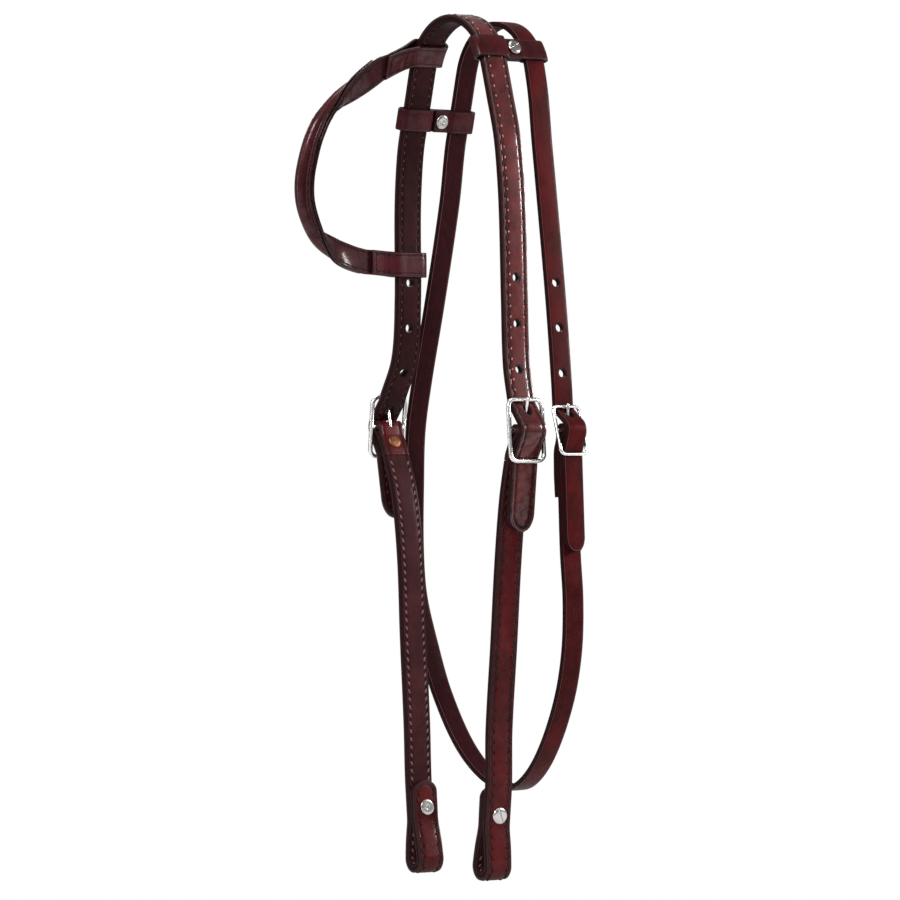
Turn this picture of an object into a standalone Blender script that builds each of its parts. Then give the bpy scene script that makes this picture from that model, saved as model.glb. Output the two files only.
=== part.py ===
"""Western slip-ear headstall: stitched crown and cheek straps, throat strap and hardware.

Metres, +Z up. +X is the horse's near (left) side, -Y is forward. The origin is the poll:
the middle of the crown strap's underside at the top of its arch.
"""
import math

import bmesh
import bpy
from mathutils import Matrix, Vector

# Leather stock
STRAP_WIDTH = 0.0159
STRAP_LAYER = 0.0020
THROAT_WIDTH = 0.0127
THROAT_LAYER = 0.0028
GAP = 0.0003
EDGE_ROUND = 0.0004
OVERRUN = 0.0020
LONGEST_STEP = 0.024
PATH_STEP = 0.0006
WELD = 0.00001
CHORD_ERROR = 0.00014

# Arch over the poll
ARCH_RADIUS = 0.0365
THROAT_ARCH_INSET = 0.0020
THROAT_SPACING = 0.0295

# Where the hardware hangs, from the top of the crown strap
BUCKLE_DROP = 0.2370
BUCKLE_REACH = 0.0665
OFF_BUCKLE_LIFT = 0.0025
OFF_BUCKLE_OUT = 0.0045
THROAT_BUCKLE_REACH = 0.0755
THROAT_BUCKLE_BACK = 0.0238
THROAT_BOW = 0.0020
THROAT_DROP = 0.4420
BIT_DROP = 0.4537
BIT_REACH = 0.0360
BIT_BOTTOM_DROP = 0.4910

# Buckles: wire radius, tongue wire radius, height over the frame, side room, corner
BUCKLE_WIRE = 0.0013
BUCKLE_HEIGHT = 0.0370
BUCKLE_CORNER = 0.0042
BUCKLE_TONGUE_WIRE = 0.0011
THROAT_BUCKLE_WIRE = 0.0010
THROAT_BUCKLE_HEIGHT = 0.0300
THROAT_BUCKLE_CORNER = 0.0030
THROAT_TONGUE_WIRE = 0.0010
BUCKLE_SIDE_ROOM = 0.0022
THROAT_BUCKLE_SIDE_ROOM = 0.0016
TONGUE_OVERHANG = 0.0012
TONGUE_SLOT_ROOM = 0.0007

# Billets
HOLE_RADIUS = 0.0025
HOLE_SPACING = 0.0260
HOLE_COUNT = 3
HOLE_STRETCH = 0.0014
NEAR_TAIL = 0.0560
OFF_TAIL = 0.0515
THROAT_TAIL = 0.0665
TIP_LENGTH = 0.0110
THROAT_TIP_LENGTH = 0.0090

# Rivets that close the buckle folds
RIVET_HEAD = 0.0040
RIVET_HEAD_HEIGHT = 0.0011
RIVET_SHANK = 0.0014
RIVET_PEEN = 0.0002
BURR_RADIUS = 0.0030
BURR_HEIGHT = 0.0008
RIVET_DROP = 0.0108
THROAT_RIVET_HEAD = 0.0033
THROAT_BURR_RADIUS = 0.0024
THROAT_RIVET_DROP = 0.0088
FOLD_ROOT = 0.0066
CHEEK_TURNBACK = 0.0190
THROAT_TURNBACK = 0.0380

# Chicago screws
SCREW_HEAD = 0.0048
SCREW_HEAD_HEIGHT = 0.0017
SCREW_SHANK = 0.0014
SCREW_SLOT_WIDTH = 0.0012
SCREW_SLOT_DEPTH = 0.0008
POST_FLANGE = 0.0045
KEEPER_SCREW_HEAD = 0.0043
KEEPER_POST_FLANGE = 0.0041
POST_FLANGE_HEIGHT = 0.0014
POST_TUBE = 0.0024
POST_BORE = 0.0017
POST_DIMPLE = 0.0011
HEAD_ROUND = 0.0006

# Bit ends
BIT_INNER_GAP = 0.0072
BIT_CLOSED_LENGTH = 0.0075
BIT_END_RISE = 0.0155
BIT_TIP_LENGTH = 0.0065

# Keepers
KEEPER_WIDTH = 0.0127
KEEPER_LAYER = 0.0016
KEEPER_ROOM = 0.0004
KEEPER_STACK_INSET = 0.0012
OFF_KEEPER_DROP = 0.0573

# Ear piece
EAR_WIDTH = 0.0143
EAR_BACK_LAYER = 0.0018
EAR_COVER_LAYER = 0.0012
EAR_CORE_RADIUS = 0.0023
EAR_REACH = 0.0725
EAR_LAP = 0.0260
EAR_FLANGE_FOOT = 0.0009
EAR_GAP = 0.0005
EAR_JOIN = 0.0300
EAR_LOW_DROP = 0.1410
EAR_END_TAPER = 0.0120

# Angles, radians
BUCKLE_TILT = math.radians(5.0)
THROAT_TILT = math.radians(18.0)
NEAR_TAIL_LEAN = math.radians(11.0)
OFF_TAIL_LEAN = math.radians(16.0)
THROAT_TAIL_LEAN = math.radians(15.0)
EAR_TOP_LEAN = math.radians(29.0)
EAR_LOW_LEAN = math.radians(-4.0)
TONGUE_LOOP = math.radians(268.0)
ARCH_END = math.radians(75.0)
KEEPER_ANGLE = math.radians(61.0)
EAR_TOP_ANGLE = math.radians(60.0)
BIT_LEAN = math.radians(5.0)
FOLD_WRAP = math.radians(105.0)
EAR_ROLL_ANGLES = (0.0, math.radians(35.0), math.radians(65.0))
TIP_ANGLES = [math.radians(degrees) for degrees in (0.0, 22.0, 42.0, 60.0, 76.0, 90.0)]
LEATHER_SHARP = math.radians(35.0)
LEATHER_EASED = math.radians(55.0)
WIRE_SHARP = math.radians(50.0)

# Counts of points
LEG_POINTS = 12
TONGUE_POINTS = 14
FOLD_POINTS = 9
CORNER_POINTS = 5
SLOT_TRIES = 60
EAR_PARTS = 28
EAR_COLUMNS = 4

# Sizes that follow
STRAP_THICKNESS = 2 * STRAP_LAYER + GAP
LAYER_LIFT = (STRAP_LAYER + GAP) / 2
CROWN_TOP = STRAP_THICKNESS
ARCH_CENTRE_Z = STRAP_THICKNESS / 2 - ARCH_RADIUS
THROAT_ARCH_RADIUS = ARCH_RADIUS - THROAT_ARCH_INSET
BAR_PITCH = BUCKLE_HEIGHT / 2 - BUCKLE_WIRE
THROAT_BAR_PITCH = THROAT_BUCKLE_HEIGHT / 2 - THROAT_BUCKLE_WIRE
BURR_ROOM = BURR_HEIGHT + 2 * GAP
THROAT_REACH = THROAT_BUCKLE_REACH + THROAT_BOW

# Ways of the crown strap below the arch, as shares of the near buckle's reach and drop
NEAR_CROWN_SHARES = (
    (0.6195, 0.2042), (0.7203, 0.2996), (0.7729, 0.3966), (0.8015, 0.4937), (0.8286, 0.6852),
    (0.8571, 0.8439),
)
OFF_CROWN_SHARES = ((0.743, 0.385), (0.760, 0.480), (0.757, 0.684), (0.806, 0.823))
# Where the straight run below the arch on the off side ends, as a share of the buckle's drop
STRAIGHT_SHARE = 0.310
# Ways of the cheeks from buckle to bit screw, as shares of the way between them
NEAR_CHEEK_SHARES = ((0.430, 0.180), (0.575, 0.340), (0.712, 0.560), (0.860, 0.780))
OFF_CHEEK_SHARES = ((0.490, 0.180), (0.657, 0.340), (0.745, 0.560), (0.850, 0.780))
# Ways of the throat strap, as shares of its reach, of a drop and of its spacing behind the crown.
# The high points share the drop to its buckle, the others the rest of the drop to its bottom.
THROAT_NEAR_SHARES = (
    (0.481, 0.1980, 1.000), (0.529, 0.2996, 0.985), (0.582, 0.3966, 0.970), (0.764, 0.6852, 0.870),
    (0.870, 0.8765, 0.800),
)
THROAT_OFF_SHARES = (
    (0.632, 0.4439, 0.960), (0.774, 0.6844, 0.870), (0.905, 0.8765, 0.800), (0.985, 0.9978, 0.790),
)
THROAT_NEAR_LOW_SHARES = ((0.930, 0.1376, 0.800), (0.965, 0.3316, 0.830), (0.980, 0.4674, 0.865))
THROAT_OFF_LOW_SHARES = ((1.010, 0.1376, 0.800), (1.030, 0.3316, 0.830), (1.005, 0.4674, 0.865))
THROAT_BOTTOM_SHARES = (
    (0.911, 0.6097, 0.965), (0.773, 0.7456, 1.045), (0.526, 0.8879, 1.130), (0.260, 0.9720, 1.220),
    (0.000, 1.0000, 1.290),
)
# Ear strap's free loop: bow outwards, reach forwards, height between its ends
EAR_SHARES = (
    (0.01, 0.593, 0.824), (0.02, 0.720, 0.755), (0.035, 0.885, 0.626), (0.04, 0.975, 0.436),
    (0.035, 0.965, 0.294), (0.02, 0.850, 0.156), (0.01, 0.670, 0.064), (0.005, 0.535, 0.029),
)
# Where the ear strap's twist starts and ends, as shares of its free loop
EAR_TWIST_SHARES = (0.04, 0.38, 0.50, 0.62, 0.97)

# The ear strap's side at three of those places: across and up
EAR_SIDE_SHARES = ((1.0, 0.25), (1.0, 0.0), (1.0, -0.25))
# Section of the ear strap's loop: how far it opens and where, as shares of its layers, lap and edge
EAR_OPEN_SHARE = 1.4
EAR_OPEN_LAP_SHARE = 0.62
EAR_FRONT_SHARE = 0.6
EAR_EDGE_SHARES = (-0.4, 0.6)
# Bit end: where its sides part, and how far above the screw the doubled strap runs straight
BIT_PART_SHARE = 0.62
BIT_STRAIGHT_SHARE = 1.2
# How much of a fold's lean is bent out inside the buckle's bottom bar
UNBEND_SHARE = 0.45
# Domes of rivet heads and screw heads, as shares of radius and height
RIVET_DOME_SHARES = ((1.0, 0.67), (0.8, 0.2), (0.4, 0.0))
SCREW_DOME_SHARES = (0.55, 0.25)
# Below this share of its width a tip closes to a point
POINT_SHARE = 0.001
# A billet's free tail below its buckle, and the easy slopes of a keeper's band
TAIL_SHARES = (0.35, 0.7, 1.0)
RAMP_SHARES = (0.15, 0.5, 0.85)

LEATHER = (0.085, 0.012, 0.015, 1.0)
LEATHER_IN = (0.045, 0.013, 0.013, 1.0)
NICKEL = (0.75, 0.75, 0.76, 1.0)
COPPER = (0.42, 0.17, 0.07, 1.0)
CORD = (0.30, 0.25, 0.18, 1.0)
LEATHER_ROUGHNESS = 0.32
LINING_ROUGHNESS = 0.50
NICKEL_ROUGHNESS = 0.18
COPPER_ROUGHNESS = 0.35
CORD_ROUGHNESS = 0.80

Y_AXIS = Vector((0.0, 1.0, 0.0))


def clear_scene():
    for old in list(bpy.data.objects):
        bpy.data.objects.remove(old, do_unlink=True)


def new_collection(name):
    group = bpy.data.collections.new(name)
    bpy.context.scene.collection.children.link(group)
    return group


def new_material(name, colour, roughness, metallic):
    material = bpy.data.materials.new(name)
    material.use_nodes = True
    shader = material.node_tree.nodes["Principled BSDF"]
    shader.inputs["Base Color"].default_value = colour
    shader.inputs["Roughness"].default_value = roughness
    shader.inputs["Metallic"].default_value = metallic
    return material


# Paths

def catmull_rom(points, steps):
    """Points along a smooth curve through the given points."""
    ends = [2 * points[0] - points[1]] + list(points) + [2 * points[-1] - points[-2]]
    out = []
    for before, start, stop, after in zip(ends, ends[1:], ends[2:], ends[3:]):
        reach = (stop - start).length
        count = max(2, int(math.ceil(reach / steps)))
        rise_in = (stop - before) / ((start - before).length + reach)
        rise_out = (after - start) / ((after - stop).length + reach)
        for k in range(count):
            t = k / count
            a = 2 * t ** 3 - 3 * t ** 2 + 1
            b = t ** 3 - 2 * t ** 2 + t
            c = -2 * t ** 3 + 3 * t ** 2
            d = t ** 3 - t ** 2
            out.append(a * start + b * reach * rise_in + c * stop + d * reach * rise_out)
    out.append(points[-1].copy())
    return out


class Path:
    """A finely sampled curve that is read by the length run along it."""

    def __init__(self, points):
        self.points = catmull_rom(points, PATH_STEP)
        self.runs = [0.0]
        for one, two in zip(self.points, self.points[1:]):
            self.runs.append(self.runs[-1] + (two - one).length)
        self.length = self.runs[-1]

    def index(self, run):
        low, high = 0, len(self.runs) - 2
        while low < high:
            middle = (low + high + 1) // 2
            if self.runs[middle] <= run:
                low = middle
            else:
                high = middle - 1
        return low

    def at(self, run):
        k = self.index(run)
        span = self.runs[k + 1] - self.runs[k]
        share = min(max((run - self.runs[k]) / span, 0.0), 1.0)
        return self.points[k].lerp(self.points[k + 1], share)

    def heading(self, run):
        reach = PATH_STEP
        low = max(run - reach, 0.0)
        high = min(run + reach, self.length)
        return (self.at(high) - self.at(low)).normalized()

    def nearest(self, place):
        best = min(range(len(self.points)), key=lambda k: (self.points[k] - place).length)
        return self.runs[best]

    def strays(self, low, high):
        """How far the path leaves the straight line between two of its fine points."""
        start, stop = self.points[low], self.points[high]
        way = (stop - start).normalized()
        spots = (self.points[k] - start for k in range(low + 1, high))
        return max(((spot - spot.dot(way) * way).length for spot in spots), default=0.0)

    def stations(self, start, stop, marks=()):
        """Runs that keep the chords close to the path, with the marks among them."""
        low, last = self.index(start), self.index(stop)
        kept = [start]
        high = low + 1
        while high < last:
            too_long = self.runs[high + 1] - self.runs[low] > LONGEST_STEP
            if too_long or self.strays(low, high + 1) > CHORD_ERROR:
                kept.append(self.runs[high])
                low = high
            high += 1
        wanted = sorted(set(marks) | {start, stop})
        kept = [run for run in kept if min(abs(run - mark) for mark in wanted) > PATH_STEP / 2]
        return sorted(kept + wanted)


def square_side(heading, wanted=Y_AXIS):
    return (wanted - wanted.dot(heading) * heading).normalized()


def tip_marks(end, direction, length):
    """Runs through a rounded tip that ends at a run."""
    return [end + direction * length * (1 - math.cos(angle)) for angle in TIP_ANGLES]


def tip_share(distance, length):
    if distance >= length:
        return 1.0
    return math.sqrt(max(0.0, 1 - (1 - distance / length) ** 2))


# Meshes

def mesh_object(name, mesh, group, material, origin=None):
    thing = bpy.data.objects.new(name, mesh)
    group.objects.link(thing)
    if material is not None:
        mesh.materials.append(material)
    if origin is not None:
        mesh.transform(Matrix.Translation(-origin))
        thing.location = origin
    return thing


def sheet_mesh(name, rows):
    """A grid of rows of points; a row of one point closes to a tip."""
    shape = bmesh.new()
    laid = [[shape.verts.new(point) for point in row] for row in rows]
    for one, two in zip(laid, laid[1:]):
        if len(one) == 1:
            for a, b in zip(two, two[1:]):
                shape.faces.new((one[0], b, a))
        elif len(two) == 1:
            for a, b in zip(one, one[1:]):
                shape.faces.new((a, b, two[0]))
        else:
            for k in range(len(one) - 1):
                shape.faces.new((one[k], one[k + 1], two[k + 1], two[k]))
    mesh = bpy.data.meshes.new(name)
    shape.to_mesh(mesh)
    shape.free()
    mesh.shade_smooth()
    mesh.set_sharp_from_angle(angle=LEATHER_SHARP)
    return mesh


def leather(name, rows, thickness, group, material, origin=None, edge=EDGE_ROUND):
    """A strap from an open sheet: given its thickness, then its edges eased."""
    piece = mesh_object(name, sheet_mesh(name, rows), group, material, origin)
    wall = piece.modifiers.new("thickness", "SOLIDIFY")
    wall.thickness = thickness
    wall.offset = 0.0
    wall.use_even_offset = True
    if edge:
        ease = piece.modifiers.new("edges", "BEVEL")
        ease.width = edge
        ease.segments = 1
        ease.limit_method = "ANGLE"
        ease.angle_limit = LEATHER_EASED
    return piece


def strap_rows(path, runs, width, lift, side_at, start_tip=0.0, end_tip=0.0, columns=1):
    """Rows across a strap at the given runs, lifted off the path along its outer normal."""
    rows = []
    start, stop = runs[0], runs[-1]
    for run in runs:
        heading = path.heading(run)
        side = square_side(heading, side_at(run))
        normal = heading.cross(side)
        centre = path.at(run) + normal * lift
        share = 1.0
        if start_tip:
            share = min(share, tip_share(run - start, start_tip))
        if end_tip:
            share = min(share, tip_share(stop - run, end_tip))
        half = width / 2 * share
        if share < POINT_SHARE:
            rows.append([centre])
        else:
            rows.append([centre + side * half * (2 * k / columns - 1) for k in range(columns + 1)])
    return rows


def cut(piece, cutter):
    hole = piece.modifiers.new("cut", "BOOLEAN")
    hole.operation = "DIFFERENCE"
    hole.solver = "EXACT"
    hole.object = cutter


def hide_cutter(cutter):
    cutter.hide_render = True
    cutter.display_type = "WIRE"


def punch(name, group, place, axis, along, radius, depth, stretch=0.0, sides=16):
    """A round or drawn-out punch, its long way along the strap."""
    shape = bmesh.new()
    bmesh.ops.create_cone(shape, cap_ends=True, segments=sides, radius1=radius, radius2=radius, depth=depth)
    long_share = (radius + stretch) / radius
    along = square_side(axis, along)
    across = axis.cross(along)
    turn = Matrix((along * long_share, across, axis)).transposed().to_4x4()
    shape.transform(Matrix.Translation(place) @ turn)
    mesh = bpy.data.meshes.new(name)
    shape.to_mesh(mesh)
    shape.free()
    cutter = mesh_object(name, mesh, group, None)
    hide_cutter(cutter)
    return cutter


def slot_block(name, group, place, first, second, size):
    """A cutting box with its middle at a place and two of its edges along given axes."""
    shape = bmesh.new()
    bmesh.ops.create_cube(shape, size=1.0)
    axes = (first, second, first.cross(second))
    turn = Matrix([axis * length for axis, length in zip(axes, size)]).transposed().to_4x4()
    shape.transform(Matrix.Translation(place) @ turn)
    mesh = bpy.data.meshes.new(name)
    shape.to_mesh(mesh)
    shape.free()
    box = mesh_object(name, mesh, group, None)
    hide_cutter(box)
    return box


def turned(name, group, material, profile, place, axis, along, steps=20):
    """A turned piece: a profile swung round its axis, then set on its place."""
    shape = bmesh.new()
    points = [shape.verts.new((radius, 0.0, height)) for radius, height in profile]
    for one, two in zip(points, points[1:]):
        shape.edges.new((one, two))
    if profile[0][0] > 0 and profile[-1][0] > 0:
        shape.edges.new((points[-1], points[0]))
    mesh = bpy.data.meshes.new(name)
    shape.to_mesh(mesh)
    shape.free()
    piece = mesh_object(name, mesh, group, material)
    swing = piece.modifiers.new("turn", "SCREW")
    swing.steps = steps
    swing.render_steps = steps
    swing.use_merge_vertices = True
    swing.merge_threshold = WELD
    swing.use_smooth_shade = False
    along = square_side(axis, along)
    turn = Matrix((along, axis.cross(along), axis)).transposed().to_4x4()
    piece.matrix_world = Matrix.Translation(place) @ turn
    return piece


def tube_mesh(name, points, radius, closed=False, rounds=2):
    """The mesh of a wire of one radius, its end caps welded on."""
    curve = bpy.data.curves.new(name, "CURVE")
    curve.dimensions = "3D"
    curve.bevel_depth = radius
    curve.bevel_resolution = rounds
    curve.use_fill_caps = True
    wire = curve.splines.new("POLY")
    wire.points.add(len(points) - 1)
    for spot, point in zip(wire.points, points):
        spot.co = (*point, 1.0)
    wire.use_cyclic_u = closed
    holder = bpy.data.objects.new(name, curve)
    bpy.context.scene.collection.objects.link(holder)
    graph = bpy.context.evaluated_depsgraph_get()
    mesh = bpy.data.meshes.new_from_object(holder.evaluated_get(graph))
    bpy.data.objects.remove(holder, do_unlink=True)
    shape = bmesh.new()
    shape.from_mesh(mesh)
    bmesh.ops.remove_doubles(shape, verts=shape.verts, dist=WELD)
    bmesh.ops.recalc_face_normals(shape, faces=shape.faces)
    shape.to_mesh(mesh)
    shape.free()
    mesh.name = name
    mesh.shade_smooth()
    mesh.set_sharp_from_angle(angle=WIRE_SHARP)
    return mesh


# Buckles

class Buckle:
    """Sizes and places of one centre-bar buckle and of the leather woven through it."""

    def __init__(self, name, side, centre, tilt, wire, tongue, pitch, corner, room, strap, billet, fold):
        self.name = name
        self.side = side
        self.centre = centre
        self.wire = wire
        self.tongue = tongue
        self.pitch = pitch
        self.corner = corner
        self.room = room
        self.strap = strap
        self.billet = billet
        self.fold = fold
        self.out = Vector((side * math.cos(tilt), 0.0, math.sin(tilt)))
        self.up = Vector((-side * math.sin(tilt), 0.0, math.cos(tilt)))
        self.ring = wire + GAP + tongue
        self.fold_round = wire + GAP + fold / 2
        self.reach = max(wire + GAP + fold, self.ring + tongue)
        self.over = self.reach + GAP + billet / 2
        self.under = wire + GAP + billet / 2
        self.slope = math.asin((self.over + self.under) / pitch)

    def place(self, out, up, back=0.0):
        return self.centre + self.out * out + self.up * up + Y_AXIS * back

    def arc(self, radius, up, start, stop, count=5):
        """Points round a bar; angle 0 points outwards and a quarter turn points up."""
        angles = [start + (stop - start) * k / (count - 1) for k in range(count)]
        return [self.place(radius * math.cos(a), up + radius * math.sin(a)) for a in angles]

    def weave(self):
        """The billet's way: inside the top bar, over the centre bar, inside the bottom bar."""
        half_turn = math.pi
        points = self.arc(self.under, self.pitch, half_turn, half_turn + self.slope)
        points += self.arc(self.over, 0.0, self.slope, -self.slope, 7)
        points += self.arc(self.under, -self.pitch, half_turn - self.slope, half_turn)
        return points

    def tail(self, lean, length):
        start = -self.under
        drop = length - self.pitch
        falls = [drop * share for share in TAIL_SHARES]
        return [self.place(start - fall * math.tan(lean), -self.pitch - fall) for fall in falls]

    def fold_lean(self, stack):
        """Angle at which the folded strap leaves the centre bar to pass inside the bottom bar."""
        radius = self.under + self.billet / 2 + BURR_ROOM + stack / 2
        return math.asin(radius / self.pitch), radius


def buckle_frame(buckle, group, material):
    half = buckle.strap / 2 + buckle.room + buckle.wire
    corners = ((half, buckle.pitch), (-half, buckle.pitch), (-half, -buckle.pitch), (half, -buckle.pitch))
    points = []
    for quarter, (back, up) in enumerate(corners):
        middle_back = back - math.copysign(buckle.corner, back)
        middle_up = up - math.copysign(buckle.corner, up)
        for k in range(CORNER_POINTS):
            angle = math.pi / 2 * (quarter + k / (CORNER_POINTS - 1))
            points.append(buckle.place(0.0, middle_up + buckle.corner * math.sin(angle),
                                       middle_back + buckle.corner * math.cos(angle)))
    frame = mesh_object(buckle.name + "_buckle_frame",
                        tube_mesh("rail", points, buckle.wire, closed=True), group, material)
    bar_ends = (buckle.place(0.0, 0.0, -half), buckle.place(0.0, 0.0, half))
    bar = mesh_object(buckle.name + "_bar", tube_mesh("bar", bar_ends, buckle.wire), CUTTERS, None)
    hide_cutter(bar)
    joined = frame.modifiers.new("centre bar", "BOOLEAN")
    joined.operation = "UNION"
    joined.solver = "EXACT"
    joined.object = bar


def buckle_tongue(buckle, group, material):
    """Wire looped round the centre bar that runs out through the billet to the top bar."""
    reach = math.hypot(buckle.ring, buckle.pitch)
    aim = math.atan2(buckle.pitch, buckle.ring)
    leave = aim + math.acos(buckle.ring / reach)
    points = []
    for k in range(TONGUE_POINTS + 1):
        angle = leave + TONGUE_LOOP * (1 - k / TONGUE_POINTS)
        points.append(Vector((buckle.ring * math.cos(angle), 0.0, buckle.ring * math.sin(angle))))
    start = points[-1]
    stop = Vector((buckle.ring, 0.0, buckle.pitch))
    way = (stop - start).normalized()
    points.append((start + stop) / 2)
    points.append(stop + way * TONGUE_OVERHANG)
    placed = [buckle.place(p.x, p.z) for p in points]
    mesh = tube_mesh(buckle.name + "_tongue", placed, buckle.tongue)
    mesh_object(buckle.name + "_buckle_tongue", mesh, group, material, buckle.centre)


def tongue_slot(buckle):
    """The slot in the fold for the tongue's loop; it stops short of the billet."""
    return punch(buckle.name + "_tongue_slot", CUTTERS, buckle.centre, Y_AXIS, buckle.up,
                 buckle.reach + GAP / 2, 2 * (buckle.tongue + TONGUE_SLOT_ROOM), sides=24)


def tongue_hole(buckle, path):
    """Where the tongue's way crosses the billet's way, and the strap's heading there."""
    low = path.nearest(buckle.place(buckle.over, 0.0))
    high = path.nearest(buckle.place(-buckle.under, buckle.pitch))
    rest = buckle.place(buckle.ring, buckle.pitch)
    root = buckle.place(-buckle.ring, 0.0)
    way = (rest - root).normalized()

    def miss(run):
        offset = path.at(run) - root
        return (offset - offset.dot(way) * way).length

    runs = [low + (high - low) * k / SLOT_TRIES for k in range(SLOT_TRIES + 1)]
    return min(runs, key=miss)


def rivet_pair(buckle, path, run, stack, head, burr_radius, group, material, tag):
    """A copper rivet from the inside through the folded strap, with a burr outside."""
    heading = path.heading(run)
    normal = heading.cross(square_side(heading, -Y_AXIS * buckle.side))
    if normal.dot(buckle.out) < 0:
        normal = -normal
    place = path.at(run)
    half = stack / 2
    head_low = -half - GAP - RIVET_HEAD_HEIGHT
    shank_top = half + GAP + BURR_HEIGHT + RIVET_PEEN
    rivet = [
        (0.0, shank_top), (RIVET_SHANK, shank_top), (RIVET_SHANK, -half - GAP), (head, -half - GAP),
    ]
    rivet += [(head * wide, head_low + RIVET_HEAD_HEIGHT * tall) for wide, tall in RIVET_DOME_SHARES]
    rivet.append((0.0, head_low))
    burr = [
        (RIVET_SHANK + GAP, half + GAP), (RIVET_SHANK + GAP, half + GAP + BURR_HEIGHT),
        (burr_radius, half + GAP + BURR_HEIGHT), (burr_radius, half + GAP),
    ]
    turned(tag + "_rivet", group, material, rivet, place, normal, Y_AXIS)
    turned(tag + "_rivet_burr", group, material, burr, place, normal, Y_AXIS)
    return punch(tag + "_rivet_hole", CUTTERS, place, normal, Y_AXIS, RIVET_SHANK + GAP,
                 stack + 2 * OVERRUN)


# Chicago screws

def chicago_screw(tag, group, material, place, axis, along, stack, seat, head, flange):
    """A post with a flange inside and a slotted screw outside, through a stack of leather."""
    half = stack / 2
    flange_top = -half - seat
    flange_low = flange_top - POST_FLANGE_HEIGHT
    post = [
        (0.0, -half), (POST_BORE, -half), (POST_BORE, half), (POST_TUBE, half),
        (POST_TUBE, flange_top), (flange, flange_top), (flange, flange_low + HEAD_ROUND),
        (flange - HEAD_ROUND, flange_low), (POST_DIMPLE, flange_low),
        (POST_DIMPLE, flange_low + HEAD_ROUND), (0.0, flange_low + HEAD_ROUND),
    ]
    head_low = half + GAP
    head_top = head_low + SCREW_HEAD_HEIGHT
    wide_share, low_share = SCREW_DOME_SHARES
    screw = [
        (0.0, head_top), (head * wide_share, head_top - HEAD_ROUND * low_share),
        (head - HEAD_ROUND, head_top - HEAD_ROUND), (head, head_low + HEAD_ROUND),
        (head, head_low), (SCREW_SHANK, head_low), (SCREW_SHANK, GAP - half), (0.0, GAP - half),
    ]
    turned(tag + "_post", group, material, post, place, axis, along)
    slotted = turned(tag + "_screw", group, material, screw, place, axis, along)
    first = square_side(axis, along)
    slot = slot_block(tag + "_slot", CUTTERS, place + axis * (head_top - SCREW_SLOT_DEPTH + OVERRUN / 2),
                      first, axis.cross(first), (head * 2 + OVERRUN, SCREW_SLOT_WIDTH, OVERRUN))
    cut(slotted, slot)
    return punch(tag + "_screw_hole", CUTTERS, place, axis, along, POST_TUBE + GAP,
                 stack + 2 * OVERRUN, sides=20)


# The ways the straps run

def height(drop):
    return CROWN_TOP - drop


def arch_points(side, radius, back, count=8):
    angles = [ARCH_END * k / (count - 1) for k in range(count)]
    turns = [(side * radius * math.sin(angle), radius * math.cos(angle)) for angle in angles]
    return [Vector((across, back, ARCH_CENTRE_Z + up)) for across, up in turns]


def straight_below_arch(side, radius, back, count=3):
    """The straight run that leaves the arch's end."""
    start = arch_points(side, radius, back)[-1]
    way = Vector((side * math.cos(ARCH_END), 0.0, -math.sin(ARCH_END)))
    stop_z = height(BUCKLE_DROP * STRAIGHT_SHARE)
    run = (start.z - stop_z) / -way.z
    return [start + way * run * k / count for k in range(1, count + 1)]


def crown_points(side, shares):
    spots = [(side * BUCKLE_REACH * reach, height(BUCKLE_DROP * drop)) for reach, drop in shares]
    return [Vector((across, 0.0, up)) for across, up in spots]


def near_crown_side(buckle):
    points = arch_points(1, ARCH_RADIUS, 0.0) + crown_points(1, NEAR_CROWN_SHARES)
    return points + buckle.weave() + buckle.tail(NEAR_TAIL_LEAN, NEAR_TAIL)


def off_crown_side(buckle):
    points = arch_points(-1, ARCH_RADIUS, 0.0) + straight_below_arch(-1, ARCH_RADIUS, 0.0)
    points += crown_points(-1, OFF_CROWN_SHARES)
    return points + buckle.weave() + buckle.tail(OFF_TAIL_LEAN, OFF_TAIL)


def throat_point(side, shares, start, stop):
    """A point of the throat strap between two drops."""
    reach, drop, back = shares
    return Vector((side * THROAT_REACH * reach, THROAT_SPACING * back, height(start + (stop - start) * drop)))


def throat_high(side, shares):
    return throat_point(side, shares, 0.0, BUCKLE_DROP)


def throat_low(side, shares):
    return throat_point(side, shares, BUCKLE_DROP, THROAT_DROP)


def bit_place(side, out, down):
    """A point in the plane of a bit end, from the middle of its screw."""
    middle = Vector((side * BIT_REACH, 0.0, height(BIT_DROP)))
    out_axis = Vector((side * math.cos(BIT_LEAN), 0.0, -math.sin(BIT_LEAN)))
    down_axis = Vector((-side * math.sin(BIT_LEAN), 0.0, -math.cos(BIT_LEAN)))
    return middle + out_axis * out + down_axis * down, out_axis, down_axis


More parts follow.
